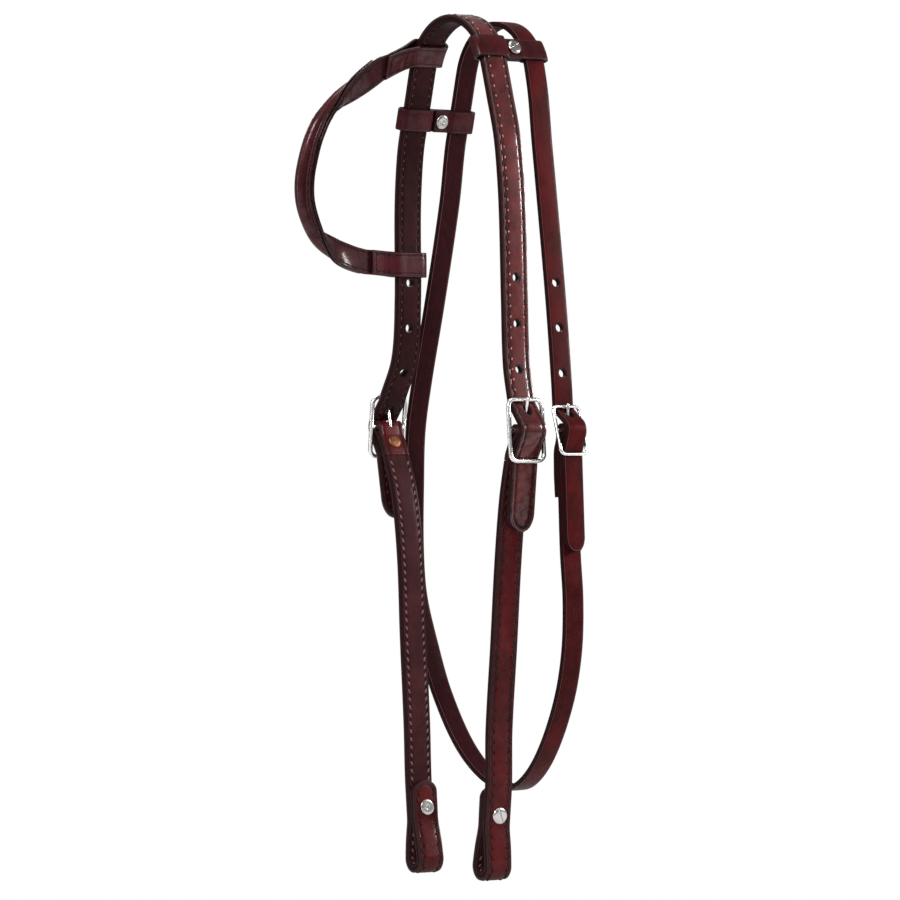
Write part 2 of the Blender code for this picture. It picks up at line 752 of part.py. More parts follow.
def cheek_way(side, buckle, shares):
    """The middle of the doubled cheek from the buckle's fold to the bit end's tip."""
    lean, radius = buckle.fold_lean(STRAP_THICKNESS)
    root = buckle.centre + (buckle.up * -math.cos(lean) - buckle.out * math.sin(lean)) * FOLD_ROOT
    tangent_up = math.pi - lean
    points = [root]
    points += buckle.arc(radius, -buckle.pitch, tangent_up, tangent_up + lean * UNBEND_SHARE, 3)
    start = buckle.centre
    stop, out_axis, down_axis = bit_place(side, 0.0, 0.0)
    for reach_share, drop_share in shares:
        points.append(Vector((start.x + (stop.x - start.x) * reach_share, 0.0,
                              start.z + (stop.z - start.z) * drop_share)))
    leg = (STRAP_THICKNESS + GAP) / 2
    round_radius = (BIT_INNER_GAP + STRAP_THICKNESS) / 2
    bottom = BIT_BOTTOM_DROP - BIT_DROP - round_radius - STRAP_THICKNESS / 2
    opening = (BIT_CLOSED_LENGTH + bottom) / 2
    half_way = leg + (round_radius - leg) * BIT_PART_SHARE
    spots = [(leg, -BIT_END_RISE * BIT_STRAIGHT_SHARE), (leg, 0.0), (leg, BIT_CLOSED_LENGTH)]
    spots.append((half_way, opening))
    spots += round_edge(0.0, bottom, round_radius, 0.0, math.pi, FOLD_POINTS)
    spots.append((-half_way, opening))
    spots += [(-leg, BIT_CLOSED_LENGTH), (-leg, 0.0), (-leg, -BIT_END_RISE)]
    return points + [bit_place(side, out, down)[0] for out, down in spots]


def fold_round(buckle, lean):
    """Points of the fold round the centre bar, from the inner leg to the outer leg."""
    up = buckle.up * math.cos(lean) + buckle.out * math.sin(lean)
    out = buckle.out * math.cos(lean) - buckle.up * math.sin(lean)
    points = []
    for k in range(FOLD_POINTS):
        angle = -FOLD_WRAP + 2 * FOLD_WRAP * k / (FOLD_POINTS - 1)
        points.append(buckle.centre + (up * math.cos(angle) + out * math.sin(angle)) * buckle.fold_round)
    return points


def flip(points):
    return list(reversed(points))


def side_y(run):
    return Y_AXIS


# Crown strap

def build_crown(group, material, lining_material, near, off):
    path = Path(flip(off_crown_side(off)) + near_crown_side(near)[1:])
    marks = tip_marks(0.0, 1, TIP_LENGTH) + tip_marks(path.length, -1, TIP_LENGTH)
    runs = path.stations(0.0, path.length, marks)
    outer_rows = strap_rows(path, runs, STRAP_WIDTH, LAYER_LIFT, side_y, TIP_LENGTH, TIP_LENGTH)
    lining_rows = strap_rows(path, runs, STRAP_WIDTH, -LAYER_LIFT, side_y, TIP_LENGTH, TIP_LENGTH)
    outer = leather("crown_outer", outer_rows, STRAP_LAYER, group, material)
    lining = leather("crown_lining", lining_rows, STRAP_LAYER, group, lining_material)
    for buckle, direction in ((near, -1), (off, 1)):
        held = tongue_hole(buckle, path)
        for k in range(HOLE_COUNT + 1):
            run = held + direction * HOLE_SPACING * k
            heading = path.heading(run)
            normal = heading.cross(square_side(heading))
            stretch = HOLE_STRETCH if k == 0 else 0.0
            cutter = punch(f"{buckle.name}_hole_{k}", CUTTERS, path.at(run), normal, heading,
                           HOLE_RADIUS, STRAP_THICKNESS + 2 * OVERRUN, stretch)
            cut(outer, cutter)
            cut(lining, cutter)
    return path


# Cheeks

def build_cheek(side, buckle, shares, group, material, lining_material, nickel, copper):
    tag = buckle.name
    way = Path(cheek_way(side, buckle, shares))
    lean = buckle.fold_lean(STRAP_THICKNESS)[0]
    turnback_end = CHEEK_TURNBACK - FOLD_ROOT
    runs = way.stations(0.0, way.length, tip_marks(way.length, -1, BIT_TIP_LENGTH))

    def leg_point(run, lift):
        heading = way.heading(run)
        out = heading.cross(Y_AXIS) * side
        return way.at(run) + out * lift

    leg_runs = [turnback_end * k / LEG_POINTS for k in range(LEG_POINTS)]
    inner_leg = [leg_point(run, -LAYER_LIFT) for run in [turnback_end] + flip(leg_runs)]
    leg_runs += [run for run in runs if run >= turnback_end]
    outer_leg = [leg_point(run, LAYER_LIFT) for run in leg_runs]
    outer_path = Path(inner_leg + fold_round(buckle, lean) + outer_leg)
    marks = tip_marks(outer_path.length, -1, BIT_TIP_LENGTH)
    outer_runs = outer_path.stations(0.0, outer_path.length, marks)

    def side_at(run):
        return Y_AXIS * side

    outer = leather(tag + "_cheek_outer",
                    strap_rows(outer_path, outer_runs, STRAP_WIDTH, 0.0, side_at, 0.0, BIT_TIP_LENGTH),
                    STRAP_LAYER, group, material, buckle.centre)
    lining_start = turnback_end + GAP
    lining_runs = way.stations(lining_start, way.length, tip_marks(way.length, -1, BIT_TIP_LENGTH))
    lining = leather(tag + "_cheek_lining",
                     strap_rows(way, lining_runs, STRAP_WIDTH, -LAYER_LIFT, side_at, 0.0, BIT_TIP_LENGTH),
                     STRAP_LAYER, group, lining_material, buckle.centre)
    cut(outer, tongue_slot(buckle))
    rivet_run = RIVET_DROP - FOLD_ROOT
    hole = rivet_pair(buckle, way, rivet_run, STRAP_THICKNESS, RIVET_HEAD, BURR_RADIUS, group, copper, tag)
    cut(outer, hole)
    place, out_axis, down_axis = bit_place(side, 0.0, 0.0)
    stack = 2 * STRAP_THICKNESS + GAP
    hole = chicago_screw(tag + "_bit", group, nickel, place, out_axis, down_axis, stack, GAP,
                         SCREW_HEAD, POST_FLANGE)
    cut(outer, hole)
    cut(lining, hole)


# Throat strap

def build_throat(group, material, buckle, nickel, copper):
    lean, radius = buckle.fold_lean(2 * THROAT_LAYER + GAP)
    lift = (THROAT_LAYER + GAP) / 2
    root = buckle.centre + (buckle.up * -math.cos(lean) - buckle.out * math.sin(lean)) * FOLD_ROOT
    tangent_up = math.pi - lean
    low = [root] + buckle.arc(radius, -buckle.pitch, tangent_up, tangent_up + lean * UNBEND_SHARE, 3)
    near_low = [throat_low(1, shares) for shares in THROAT_NEAR_LOW_SHARES + THROAT_BOTTOM_SHARES]
    off_low = [throat_low(-1, shares) for shares in THROAT_OFF_LOW_SHARES + THROAT_BOTTOM_SHARES[:-1]]
    off_high = [throat_high(-1, shares) for shares in THROAT_OFF_SHARES]
    off_arch = arch_points(-1, THROAT_ARCH_RADIUS, THROAT_SPACING)
    off_arch += straight_below_arch(-1, THROAT_ARCH_RADIUS, THROAT_SPACING)
    near_arch = arch_points(1, THROAT_ARCH_RADIUS, THROAT_SPACING)
    near_high = [throat_high(1, shares) for shares in THROAT_NEAR_SHARES]
    double = Path(low + near_low[:3])
    turnback_end = THROAT_TURNBACK - FOLD_ROOT

    def leg_point(run, offset):
        heading = double.heading(run)
        return double.at(run) + heading.cross(square_side(heading)) * offset

    leg_runs = [turnback_end * k / LEG_POINTS for k in range(LEG_POINTS + 1)]
    inner_leg = [leg_point(run, -lift) for run in flip(leg_runs)]
    outer_leg = [leg_point(run, lift) for run in leg_runs]
    points = inner_leg + fold_round(buckle, lean) + outer_leg
    points += near_low[1:] + flip(off_low) + flip(off_high)
    points += flip(off_arch) + near_arch[1:] + near_high
    points += buckle.weave() + buckle.tail(THROAT_TAIL_LEAN, THROAT_TAIL)
    path = Path(points)
    marks = tip_marks(path.length, -1, THROAT_TIP_LENGTH)
    runs = path.stations(0.0, path.length, marks)
    rows = strap_rows(path, runs, THROAT_WIDTH, 0.0, side_y, 0.0, THROAT_TIP_LENGTH)
    strap = leather("throat_strap", rows, THROAT_LAYER, group, material)
    cut(strap, tongue_slot(buckle))
    hole = rivet_pair(buckle, double, THROAT_RIVET_DROP - FOLD_ROOT, 2 * THROAT_LAYER + GAP,
                      THROAT_RIVET_HEAD, THROAT_BURR_RADIUS, group, copper, "throat")
    cut(strap, hole)
    held = tongue_hole(buckle, path)
    for k in range(HOLE_COUNT + 1):
        run = held - HOLE_SPACING * k
        heading = path.heading(run)
        normal = heading.cross(square_side(heading))
        stretch = HOLE_STRETCH if k == 0 else 0.0
        cutter = punch(f"throat_hole_{k}", CUTTERS, path.at(run), normal, heading, HOLE_RADIUS,
                       THROAT_LAYER + 2 * OVERRUN, stretch)
        cut(strap, cutter)


# Keepers

def band_rows(path, centre_run, width, way, columns=4):
    """Rows of a band that lies round a strap and follows its bend; way is (out, back) pairs."""
    rows = []
    for out, back in way:
        row = []
        for k in range(columns + 1):
            run = centre_run + width * (k / columns - 0.5)
            heading = path.heading(run)
            normal = heading.cross(Y_AXIS)
            row.append(path.at(run) + normal * out + Y_AXIS * back)
        rows.append(row)
    return rows


def round_edge(out, back, radius, start, stop, count=7):
    angles = [start + (stop - start) * k / (count - 1) for k in range(count)]
    return [(out + radius * math.cos(a), back + radius * math.sin(a)) for a in angles]


def ramp(start, stop):
    """An easy S from one (out, back) place to another."""
    way = []
    for t in RAMP_SHARES:
        ease = t * t * (3 - 2 * t)
        way.append((start[0] + (stop[0] - start[0]) * ease, start[1] + (stop[1] - start[1]) * t))
    return way


def keeper_way():
    """The keeper's strip in section: lapped inside at the screw, round both straps."""
    lap = KEEPER_LAYER + GAP
    crown_off = STRAP_THICKNESS / 2 + KEEPER_ROOM + KEEPER_LAYER / 2
    throat_off = THROAT_LAYER / 2 + KEEPER_ROOM + KEEPER_LAYER / 2
    crown_edge = STRAP_WIDTH / 2
    throat_in = THROAT_SPACING - THROAT_WIDTH / 2
    throat_out = THROAT_SPACING + THROAT_WIDTH / 2
    screw_back = (crown_edge + throat_in) / 2
    low_back = screw_back - KEEPER_SCREW_HEAD - GAP
    high_back = screw_back + KEEPER_SCREW_HEAD + GAP
    leave_crown = crown_edge + KEEPER_ROOM
    leave_throat = throat_in + KEEPER_LAYER / 2
    middle = -THROAT_ARCH_INSET
    stack = -KEEPER_STACK_INSET
    way = [(stack, high_back - GAP), (stack, screw_back), (stack, low_back)]
    way += ramp((stack, low_back), (-crown_off, leave_crown))
    way += round_edge(0.0, -crown_edge, crown_off, math.pi, math.pi * 2)
    way += ramp((crown_off, leave_crown), (stack + lap, low_back))
    way += [(stack + lap, low_back), (stack + lap, screw_back), (stack + lap, high_back)]
    way += ramp((stack + lap, high_back), (middle + throat_off, leave_throat))
    way += round_edge(middle, throat_out, throat_off, 0.0, math.pi)
    way += ramp((middle - throat_off, leave_throat), (stack - lap, high_back))
    way += [(stack - lap, high_back), (stack - lap, screw_back), (stack - lap, low_back + GAP)]
    return way, screw_back, stack


def build_keeper(tag, group, material, nickel, crown_path, centre_run):
    way, screw_back, stack_out = keeper_way()
    section = Path([Vector((out, back, 0.0)) for out, back in way])
    turns = section.stations(0.0, section.length)
    smooth_way = [(section.at(run).x, section.at(run).y) for run in turns]
    origin = crown_path.at(centre_run)
    keeper = leather(tag + "_keeper", band_rows(crown_path, centre_run, KEEPER_WIDTH, smooth_way),
                     KEEPER_LAYER, group, material, origin, edge=0.0)
    heading = crown_path.heading(centre_run)
    normal = heading.cross(Y_AXIS)
    place = crown_path.at(centre_run) + normal * stack_out + Y_AXIS * screw_back
    stack = 3 * KEEPER_LAYER + 2 * GAP
    seat = GAP + KEEPER_POST_FLANGE ** 2 / (2 * THROAT_ARCH_RADIUS)
    hole = chicago_screw(tag + "_keeper", group, nickel, place, normal, Y_AXIS, stack, seat,
                         KEEPER_SCREW_HEAD, KEEPER_POST_FLANGE)
    cut(keeper, hole)


# Ear piece

def ear_wrap_way():
    """Section of the ear strap's loop round the crown: (out, back), from the free end round."""
    off = STRAP_THICKNESS / 2 + GAP + EAR_BACK_LAYER / 2
    edge = STRAP_WIDTH / 2
    leg = (EAR_BACK_LAYER + GAP) / 2
    front = -edge - EAR_BACK_LAYER * EAR_FRONT_SHARE
    main = [(leg, -EAR_LAP), (leg * EAR_OPEN_SHARE, -EAR_LAP * EAR_OPEN_LAP_SHARE), (off, front)]
    main += [(off, edge * share) for share in EAR_EDGE_SHARES]
    turn = round_edge(0.0, edge, off, 0.0, math.pi)
    return main + turn + [(-out, back) for out, back in flip(main)]


def build_ear(group, material, back_material, cord_material, crown_path, top_run, low_run):
    section = ear_wrap_way()

    def frame_at(run):
        heading = crown_path.heading(run)
        return crown_path.at(run), heading.cross(Y_AXIS), heading

    def slip(back, lean):
        """How far the lap has slid along the crown, forward of the crown's edge."""
        return max(0.0, -back - STRAP_WIDTH / 2 - EAR_BACK_LAYER / 2) * math.tan(lean)

    def wrap_rows(run, lean):
        rows = []
        smooth = Path([Vector((out, back, 0.0)) for out, back in section])
        for station in smooth.stations(0.0, smooth.length):
            spot = smooth.at(station)
            row = []
            for k in range(EAR_COLUMNS + 1):
                place_run = run + EAR_WIDTH * (k / EAR_COLUMNS - 0.5) - slip(spot.y, lean)
                middle, normal, heading = frame_at(place_run)
                row.append(middle + normal * spot.x + Y_AXIS * spot.y)
            rows.append(row)
        return rows

    leg = (EAR_BACK_LAYER + GAP) / 2

    def leg_end(run, lean, forward):
        middle, normal, heading = frame_at(run - slip(-forward, lean))
        return middle + normal * leg - Y_AXIS * forward, heading

    top_start, top_heading = leg_end(top_run, EAR_TOP_LEAN, EAR_LAP)
    low_start, low_heading = leg_end(low_run, EAR_LOW_LEAN, EAR_LAP)
    top_join = leg_end(top_run, EAR_TOP_LEAN, EAR_JOIN)[0]
    low_join = leg_end(low_run, EAR_LOW_LEAN, EAR_JOIN)[0]
    top_z = crown_path.at(top_run).z
    low_z = crown_path.at(low_run).z
    points = [top_start, top_join]
    for out_share, forward_share, height_share in EAR_SHARES:
        sideways = low_join.x + (top_join.x - low_join.x) * height_share - EAR_REACH * out_share
        upward = low_z + (top_z - low_z) * height_share
        points.append(Vector((sideways, -EAR_REACH * forward_share, upward)))
    points += [low_join, low_start]
    path = Path(points)
    sides = [Vector((across, 0.0, up)).normalized() for across, up in EAR_SIDE_SHARES]
    sides = [top_heading] + sides + [low_heading]
    if sides[0].z < 0:
        sides[0] = -sides[0]
    if sides[-1].z > 0:
        sides[-1] = -sides[-1]

    def side_at(run):
        share = run / path.length
        if share <= EAR_TWIST_SHARES[0]:
            return sides[0]
        if share >= EAR_TWIST_SHARES[-1]:
            return sides[-1]
        places = zip(EAR_TWIST_SHARES, EAR_TWIST_SHARES[1:], sides, sides[1:])
        for low, high, one, two in places:
            if share <= high:
                t = (share - low) / (high - low)
                t = t * t * (3 - 2 * t)
                return one.lerp(two, t).normalized()
        return sides[-1]

    cover_start = EAR_JOIN - EAR_LAP + GAP
    cover_stop = path.length - cover_start
    core_start = cover_start + EAR_END_TAPER
    core_stop = cover_stop - EAR_END_TAPER
    marks = [path.length * k / EAR_PARTS for k in range(1, EAR_PARTS)]
    marks += [cover_start, cover_stop, core_start, core_stop]
    runs = path.stations(0.0, path.length, marks)
    free_rows = strap_rows(path, runs, EAR_WIDTH, 0.0, side_at, columns=EAR_COLUMNS)
    top_rows = wrap_rows(top_run, EAR_TOP_LEAN)
    low_rows = wrap_rows(low_run, EAR_LOW_LEAN)
    if (top_rows[0][0] - free_rows[0][0]).length > (top_rows[0][-1] - free_rows[0][0]).length:
        top_rows = [list(reversed(row)) for row in top_rows]
    if (low_rows[0][0] - free_rows[-1][0]).length > (low_rows[0][-1] - free_rows[-1][0]).length:
        low_rows = [list(reversed(row)) for row in low_rows]
    rows = flip(top_rows) + free_rows[1:-1] + low_rows
    leather("ear_backing", rows, EAR_BACK_LAYER, group, back_material, edge=0.0)

    cover_runs = [run for run in runs if cover_start <= run <= cover_stop]
    flange_lift = EAR_BACK_LAYER / 2 + EAR_GAP + EAR_COVER_LAYER / 2
    core_lift = EAR_BACK_LAYER / 2 + EAR_GAP + EAR_CORE_RADIUS
    roll = EAR_CORE_RADIUS + GAP + EAR_COVER_LAYER / 2
    half_section = [(EAR_WIDTH / 2, flange_lift), (roll + EAR_FLANGE_FOOT, flange_lift)]
    for angle in EAR_ROLL_ANGLES:
        half_section.append((roll * math.cos(angle), core_lift + roll * math.sin(angle)))
    section_points = half_section + [(0.0, core_lift + roll)]
    section_points += [(-across, lift) for across, lift in flip(half_section)]

    def rise_at(run):
        reach = min(run - cover_start, cover_stop - run) / EAR_END_TAPER
        reach = min(max(reach, 0.0), 1.0)
        return reach * reach * (3 - 2 * reach)

    cover_rows = []
    for run in cover_runs:
        heading = path.heading(run)
        side = square_side(heading, side_at(run))
        normal = heading.cross(side)
        swell = rise_at(run)
        row = []
        for across, lift in section_points:
            raised = flange_lift + (lift - flange_lift) * swell
            row.append(path.at(run) + side * across + normal * raised)
        cover_rows.append(row)
    leather("ear_cover", cover_rows, EAR_COVER_LAYER, group, material, edge=0.0)

    core_points = []
    for run in [run for run in runs if core_start <= run <= core_stop]:
        heading = path.heading(run)
        normal = heading.cross(square_side(heading, side_at(run)))
        core_points.append(path.at(run) + normal * core_lift)
    mesh_object("ear_core", tube_mesh("ear_core", core_points, EAR_CORE_RADIUS), group, cord_material)


def build():
    leather_face = new_material("leather face", LEATHER, LEATHER_ROUGHNESS, 0.0)
    leather_flesh = new_material("leather lining", LEATHER_IN, LINING_ROUGHNESS, 0.0)
    nickel = new_material("nickel", NICKEL, NICKEL_ROUGHNESS, 1.0)
    copper = new_material("copper", COPPER, COPPER_ROUGHNESS, 1.0)
    cord = new_material("cord", CORD, CORD_ROUGHNESS, 0.0)
    near = Buckle("near", 1, Vector((BUCKLE_REACH, 0.0, height(BUCKLE_DROP))), BUCKLE_TILT, BUCKLE_WIRE,
                  BUCKLE_TONGUE_WIRE, BAR_PITCH, BUCKLE_CORNER, BUCKLE_SIDE_ROOM, STRAP_WIDTH,
                  STRAP_THICKNESS, STRAP_LAYER)
    off_centre = Vector((-BUCKLE_REACH - OFF_BUCKLE_OUT, 0.0, height(BUCKLE_DROP - OFF_BUCKLE_LIFT)))
    off = Buckle("off", -1, off_centre, BUCKLE_TILT, BUCKLE_WIRE, BUCKLE_TONGUE_WIRE, BAR_PITCH,
                 BUCKLE_CORNER, BUCKLE_SIDE_ROOM, STRAP_WIDTH, STRAP_THICKNESS, STRAP_LAYER)
    throat_centre = Vector((THROAT_BUCKLE_REACH, THROAT_BUCKLE_BACK, height(BUCKLE_DROP)))
    throat = Buckle("throat", 1, throat_centre, THROAT_TILT, THROAT_BUCKLE_WIRE, THROAT_TONGUE_WIRE,
                    THROAT_BAR_PITCH, THROAT_BUCKLE_CORNER, THROAT_BUCKLE_SIDE_ROOM, THROAT_WIDTH,
                    THROAT_LAYER, THROAT_LAYER)

    crown_path = build_crown(PARTS, leather_face, leather_flesh, near, off)
    for side, buckle, shares in ((1, near, NEAR_CHEEK_SHARES), (-1, off, OFF_CHEEK_SHARES)):
        build_cheek(side, buckle, shares, PARTS, leather_face, leather_flesh, nickel, copper)
    build_throat(PARTS, leather_face, throat, nickel, copper)
    for buckle in (near, off, throat):
        buckle_frame(buckle, PARTS, nickel)
        buckle_tongue(buckle, PARTS, nickel)

    def on_arch(side, angle):
        return crown_path.nearest(Vector((side * ARCH_RADIUS * math.sin(angle), 0.0,
                                          ARCH_CENTRE_Z + ARCH_RADIUS * math.cos(angle))))

    def at_drop(side, drop):
        runs = [k * PATH_STEP for k in range(int(crown_path.length / PATH_STEP))]
        runs = [run for run in runs if (run - on_arch(1, 0.0)) * side > 0]
        return min(runs, key=lambda run: abs(crown_path.at(run).z - height(drop)))

    build_keeper("near", PARTS, leather_face, nickel, crown_path, on_arch(1, KEEPER_ANGLE))
    build_keeper("off", PARTS, leather_face, nickel, crown_path, at_drop(-1, OFF_KEEPER_DROP))
    build_ear(PARTS, leather_face, leather_flesh, cord, crown_path, on_arch(-1, EAR_TOP_ANGLE),
              at_drop(-1, EAR_LOW_DROP))


clear_scene()
PARTS = new_collection("western_headstall")
CUTTERS = new_collection("cutters")
build()
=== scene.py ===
import math

import bpy
import numpy as np
from mathutils import Matrix, Vector


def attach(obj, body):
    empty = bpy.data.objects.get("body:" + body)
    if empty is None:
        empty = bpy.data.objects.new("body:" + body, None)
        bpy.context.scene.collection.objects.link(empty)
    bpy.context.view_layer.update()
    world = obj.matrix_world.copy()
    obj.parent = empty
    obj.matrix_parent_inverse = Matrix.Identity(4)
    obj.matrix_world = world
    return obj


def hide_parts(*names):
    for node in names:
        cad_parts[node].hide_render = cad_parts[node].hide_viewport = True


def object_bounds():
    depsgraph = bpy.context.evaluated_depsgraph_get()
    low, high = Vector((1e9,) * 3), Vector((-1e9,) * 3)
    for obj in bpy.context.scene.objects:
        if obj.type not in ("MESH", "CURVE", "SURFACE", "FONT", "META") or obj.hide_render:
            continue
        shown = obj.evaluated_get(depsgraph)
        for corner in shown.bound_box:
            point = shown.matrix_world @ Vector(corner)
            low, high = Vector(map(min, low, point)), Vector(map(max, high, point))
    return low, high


# A burgundy slip-ear headstall hanging by its crown. Metres, +Z up, +X the near side, -Y forward.
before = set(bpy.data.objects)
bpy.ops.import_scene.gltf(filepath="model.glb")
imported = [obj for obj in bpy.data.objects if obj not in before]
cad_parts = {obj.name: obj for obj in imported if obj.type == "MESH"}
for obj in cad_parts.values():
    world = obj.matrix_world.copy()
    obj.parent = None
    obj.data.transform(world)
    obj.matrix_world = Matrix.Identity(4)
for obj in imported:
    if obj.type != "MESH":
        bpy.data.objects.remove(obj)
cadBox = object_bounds()
print("frame loaded:", len(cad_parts), "nodes")

yAxis = Vector((0.0, 1.0, 0.0))


# Shader maths

class Wire:
    # one output socket; sums on it add the Math nodes they need
    def __init__(self, shader, socket):
        self.shader = shader
        self.socket = socket

    def math(self, operation, *others, clamp=False):
        made = self.shader.node("ShaderNodeMath", {"operation": operation, "use_clamp": clamp},
                                dict(enumerate((self,) + others)))
        return made.wire(0)

    def __add__(self, other):
        return self.math("ADD", other)

    __radd__ = __add__

    def __sub__(self, other):
        return self.math("SUBTRACT", other)

    def __rsub__(self, other):
        made = self.shader.node("ShaderNodeMath", {"operation": "SUBTRACT"}, {0: other, 1: self})
        return made.wire(0)

    def __mul__(self, other):
        return self.math("MULTIPLY", other)

    __rmul__ = __mul__

    def __truediv__(self, other):
        return self.math("DIVIDE", other)

    def __abs__(self):
        return self.math("ABSOLUTE")

    def power(self, other):
        return self.math("POWER", other)

    def least(self, other):
        return self.math("MINIMUM", other)

    def most(self, other):
        return self.math("MAXIMUM", other)

    def rise(self, low, high):
        # 0 below low, 1 above high, eased between
        made = self.shader.node("ShaderNodeMapRange", {"interpolation_type": "SMOOTHSTEP"},
                                {"Value": self, "From Min": low, "From Max": high})
        return made.wire(0)

    def near(self, centre, reach):
        # 1 at the centre value, 0 further than reach from it
        return 1 - abs(self - centre).rise(0.0, reach)


class Made:
    def __init__(self, shader, item):
        self.shader = shader
        self.item = item

    def wire(self, output):
        return Wire(self.shader, self.item.outputs[output])


class Shader:
    def __init__(self, name):
        self.material = bpy.data.materials.new(name)
        self.material.use_nodes = True
        self.tree = self.material.node_tree
        self.tree.nodes.clear()

    def node(self, kind, settings=None, values=None):
        item = self.tree.nodes.new(kind)
        for name, value in (settings or {}).items():
            if name == "stops":
                while len(item.color_ramp.elements) < len(value):
                    item.color_ramp.elements.new(1.0)
                for stop, (place, colour) in zip(item.color_ramp.elements, value):
                    stop.position = place
                    stop.color = colour
            else:
                setattr(item, name, value)
        for name, value in (values or {}).items():
            if isinstance(value, Wire):
                self.tree.links.new(value.socket, item.inputs[name])
            else:
                item.inputs[name].default_value = value
        return Made(self, item)

    def mix(self, factor, one, two, blend="MIX"):
        made = self.node("ShaderNodeMix", {"data_type": "RGBA", "blend_type": blend, "clamp_factor": True},
                         {0: factor, 6: one, 7: two})
        return made.wire(2)

    def objectPlace(self):
        return self.node("ShaderNodeTexCoord").wire("Object")

    def attribute(self, name, output="Fac"):
        return self.node("ShaderNodeAttribute", {"attribute_name": name}).wire(output)

    def stretched(self, place, scale):
        made = self.node("ShaderNodeVectorMath", {"operation": "MULTIPLY"}, {0: place, 1: scale})
        return made.wire(0)

    def noise(self, place, scale, detail=3.0, roughness=0.55):
        made = self.node("ShaderNodeTexNoise", {},
                         {"Vector": place, "Scale": scale, "Detail": detail, "Roughness": roughness})
        return made.wire("Fac")

    def cells(self, place, scale, feature="F1"):
        made = self.node("ShaderNodeTexVoronoi", {"feature": feature}, {"Vector": place, "Scale": scale})
        return made.wire("Distance")

    def bump(self, height, distance, strength=1.0, under=None):
        values = {"Height": height, "Distance": distance, "Strength": strength}
        if under is not None:
            values["Normal"] = under
        return self.node("ShaderNodeBump", {}, values).wire("Normal")

    def finish(self, values):
        surface = self.node("ShaderNodeBsdfPrincipled", {}, values)
        self.node("ShaderNodeOutputMaterial", {}, {"Surface": surface.wire("BSDF")})
        return self.material


def colour(red, green, blue):
    return (red, green, blue, 1.0)


# Finishes

strapLook = {
    "face": colour(0.100, 0.0072, 0.0080), "faceDeep": colour(0.046, 0.0036, 0.0042),
    "back": colour(0.034, 0.0065, 0.0085), "backDeep": colour(0.015, 0.0036, 0.0048),
    "edge": colour(0.012, 0.0035, 0.0040), "crease": 0.00105, "creaseWidth": 0.00032,
    "stitchRow": 0.0022, "rowWidth": 0.00080, "coatRoughness": 0.16, "coat": 0.30, "gloss": 0.31, "shine": 0.26,
    "rimHighlight": 0.30, "rimHighlightTone": colour(0.150, 0.050, 0.052),
}


def strapLeather(name, look, stitched=True, backIsFace=False):
    # bridle leather: glazed grain outside, plainer inside, dark burnished edges, a crease along each edge, painted
    # shade in the stitch grooves and round the holes, and a painted highlight along the bevelled edge
    s = Shader(name)
    place = s.objectPlace()
    away = s.attribute("edgeAway")
    hole = 1 - s.attribute("holeAway").rise(0.00015, 0.00080)
    lift = s.attribute("lift")
    flat = s.attribute("flat", "Vector")
    broad = s.noise(place, 55.0, 3.0)
    cloud = s.noise(place, 210.0, 4.0)
    grain = s.cells(place, 1500.0)
    fine = s.noise(place, 2600.0, 2.0)
    fibre = s.noise(s.stretched(flat, (0.22, 1.0, 1.0)), 900.0, 4.0, 0.65)
    scuff = s.noise(s.stretched(flat, (0.16, 1.0, 1.0)), 420.0, 5.0, 0.7)
    back = 1 - lift.rise(-0.2, 0.2)
    if backIsFace:
        back = back * 0.35
    edge = 1 - away.rise(0.00022, 0.00085)
    crease = away.near(look["crease"], look["creaseWidth"])
    # a pale line just inside the outline, stronger on the back: a painted highlight on the bevelled edge
    rimHighlight = away.near(0.00072, 0.00034)
    sunk = away.near(look["stitchRow"], look["rowWidth"]) if stitched else 0.0 * away
    worn = scuff.rise(0.60, 0.78)
    faceTone = s.mix(broad.rise(0.34, 0.68) * 0.75 + cloud.rise(0.4, 0.75) * 0.25, look["faceDeep"], look["face"])
    backTone = s.mix(fibre.rise(0.3, 0.72) * 0.6 + cloud.rise(0.35, 0.7) * 0.4, look["backDeep"], look["back"])
    tone = s.mix(back, faceTone, backTone)
    # the sunk stitch rows are darkened toward the edge colour: painted shade in the grooves
    tone = s.mix(sunk * 0.88, tone, look["edge"])
    tone = s.mix(crease * 0.65, tone, look["edge"])
    tone = s.mix(rimHighlight * (look["rimHighlight"] + 0.30 * back), tone, look["rimHighlightTone"])
    # edges and hole walls take the dark edge colour; the ring darkened round each hole on the face is painted shade
    tone = s.mix(edge.most(hole) * 0.92, tone, look["edge"])
    tone = s.mix(worn * 0.18, tone, colour(0.110, 0.030, 0.030))
    gloss = look["gloss"] + 0.14 * cloud + 0.22 * back + 0.10 * worn - 0.06 * edge
    mottle = cloud.rise(0.32, 0.62) * (0.45 + 0.55 * grain.rise(0.10, 0.45))
    coat = (look["coat"] - 0.85 * look["coat"] * back) * (0.25 + 0.75 * mottle) * (1 - 0.8 * sunk)
    relief = (0.20 * fine + 0.32 * grain + 0.25 * fibre * back - 0.9 * crease - 0.75 * sunk - 0.8 * hole
              + 1.30 * broad + 0.90 * cloud + 0.12 * scuff)
    return s.finish({
        "Base Color": tone, "Roughness": gloss, "Coat Weight": coat,
        "Coat Roughness": look["coatRoughness"], "Specular IOR Level": look["shine"],
        "Specular Tint": colour(1.0, 0.50, 0.50),
        "Normal": s.bump(relief, 0.00022, 0.8),
    })


def threadFinish(name, dark, light):
    # waxed twisted thread
    s = Shader(name)
    flat = s.attribute("flat", "Vector")
    place = s.objectPlace()
    twist = s.node("ShaderNodeTexWave", {"wave_type": "BANDS", "bands_direction": "DIAGONAL"},
                   {"Vector": flat, "Scale": 520.0, "Distortion": 0.4}).wire("Fac")
    fuzz = s.noise(place, 1800.0, 3.0)
    tone = s.mix(twist * 0.6 + fuzz * 0.4, dark, light)
    return s.finish({"Base Color": tone, "Roughness": 0.50 + 0.2 * fuzz, "Specular IOR Level": 0.25,
                     "Normal": s.bump(twist * 0.8 + fuzz * 0.4, 0.00012)})


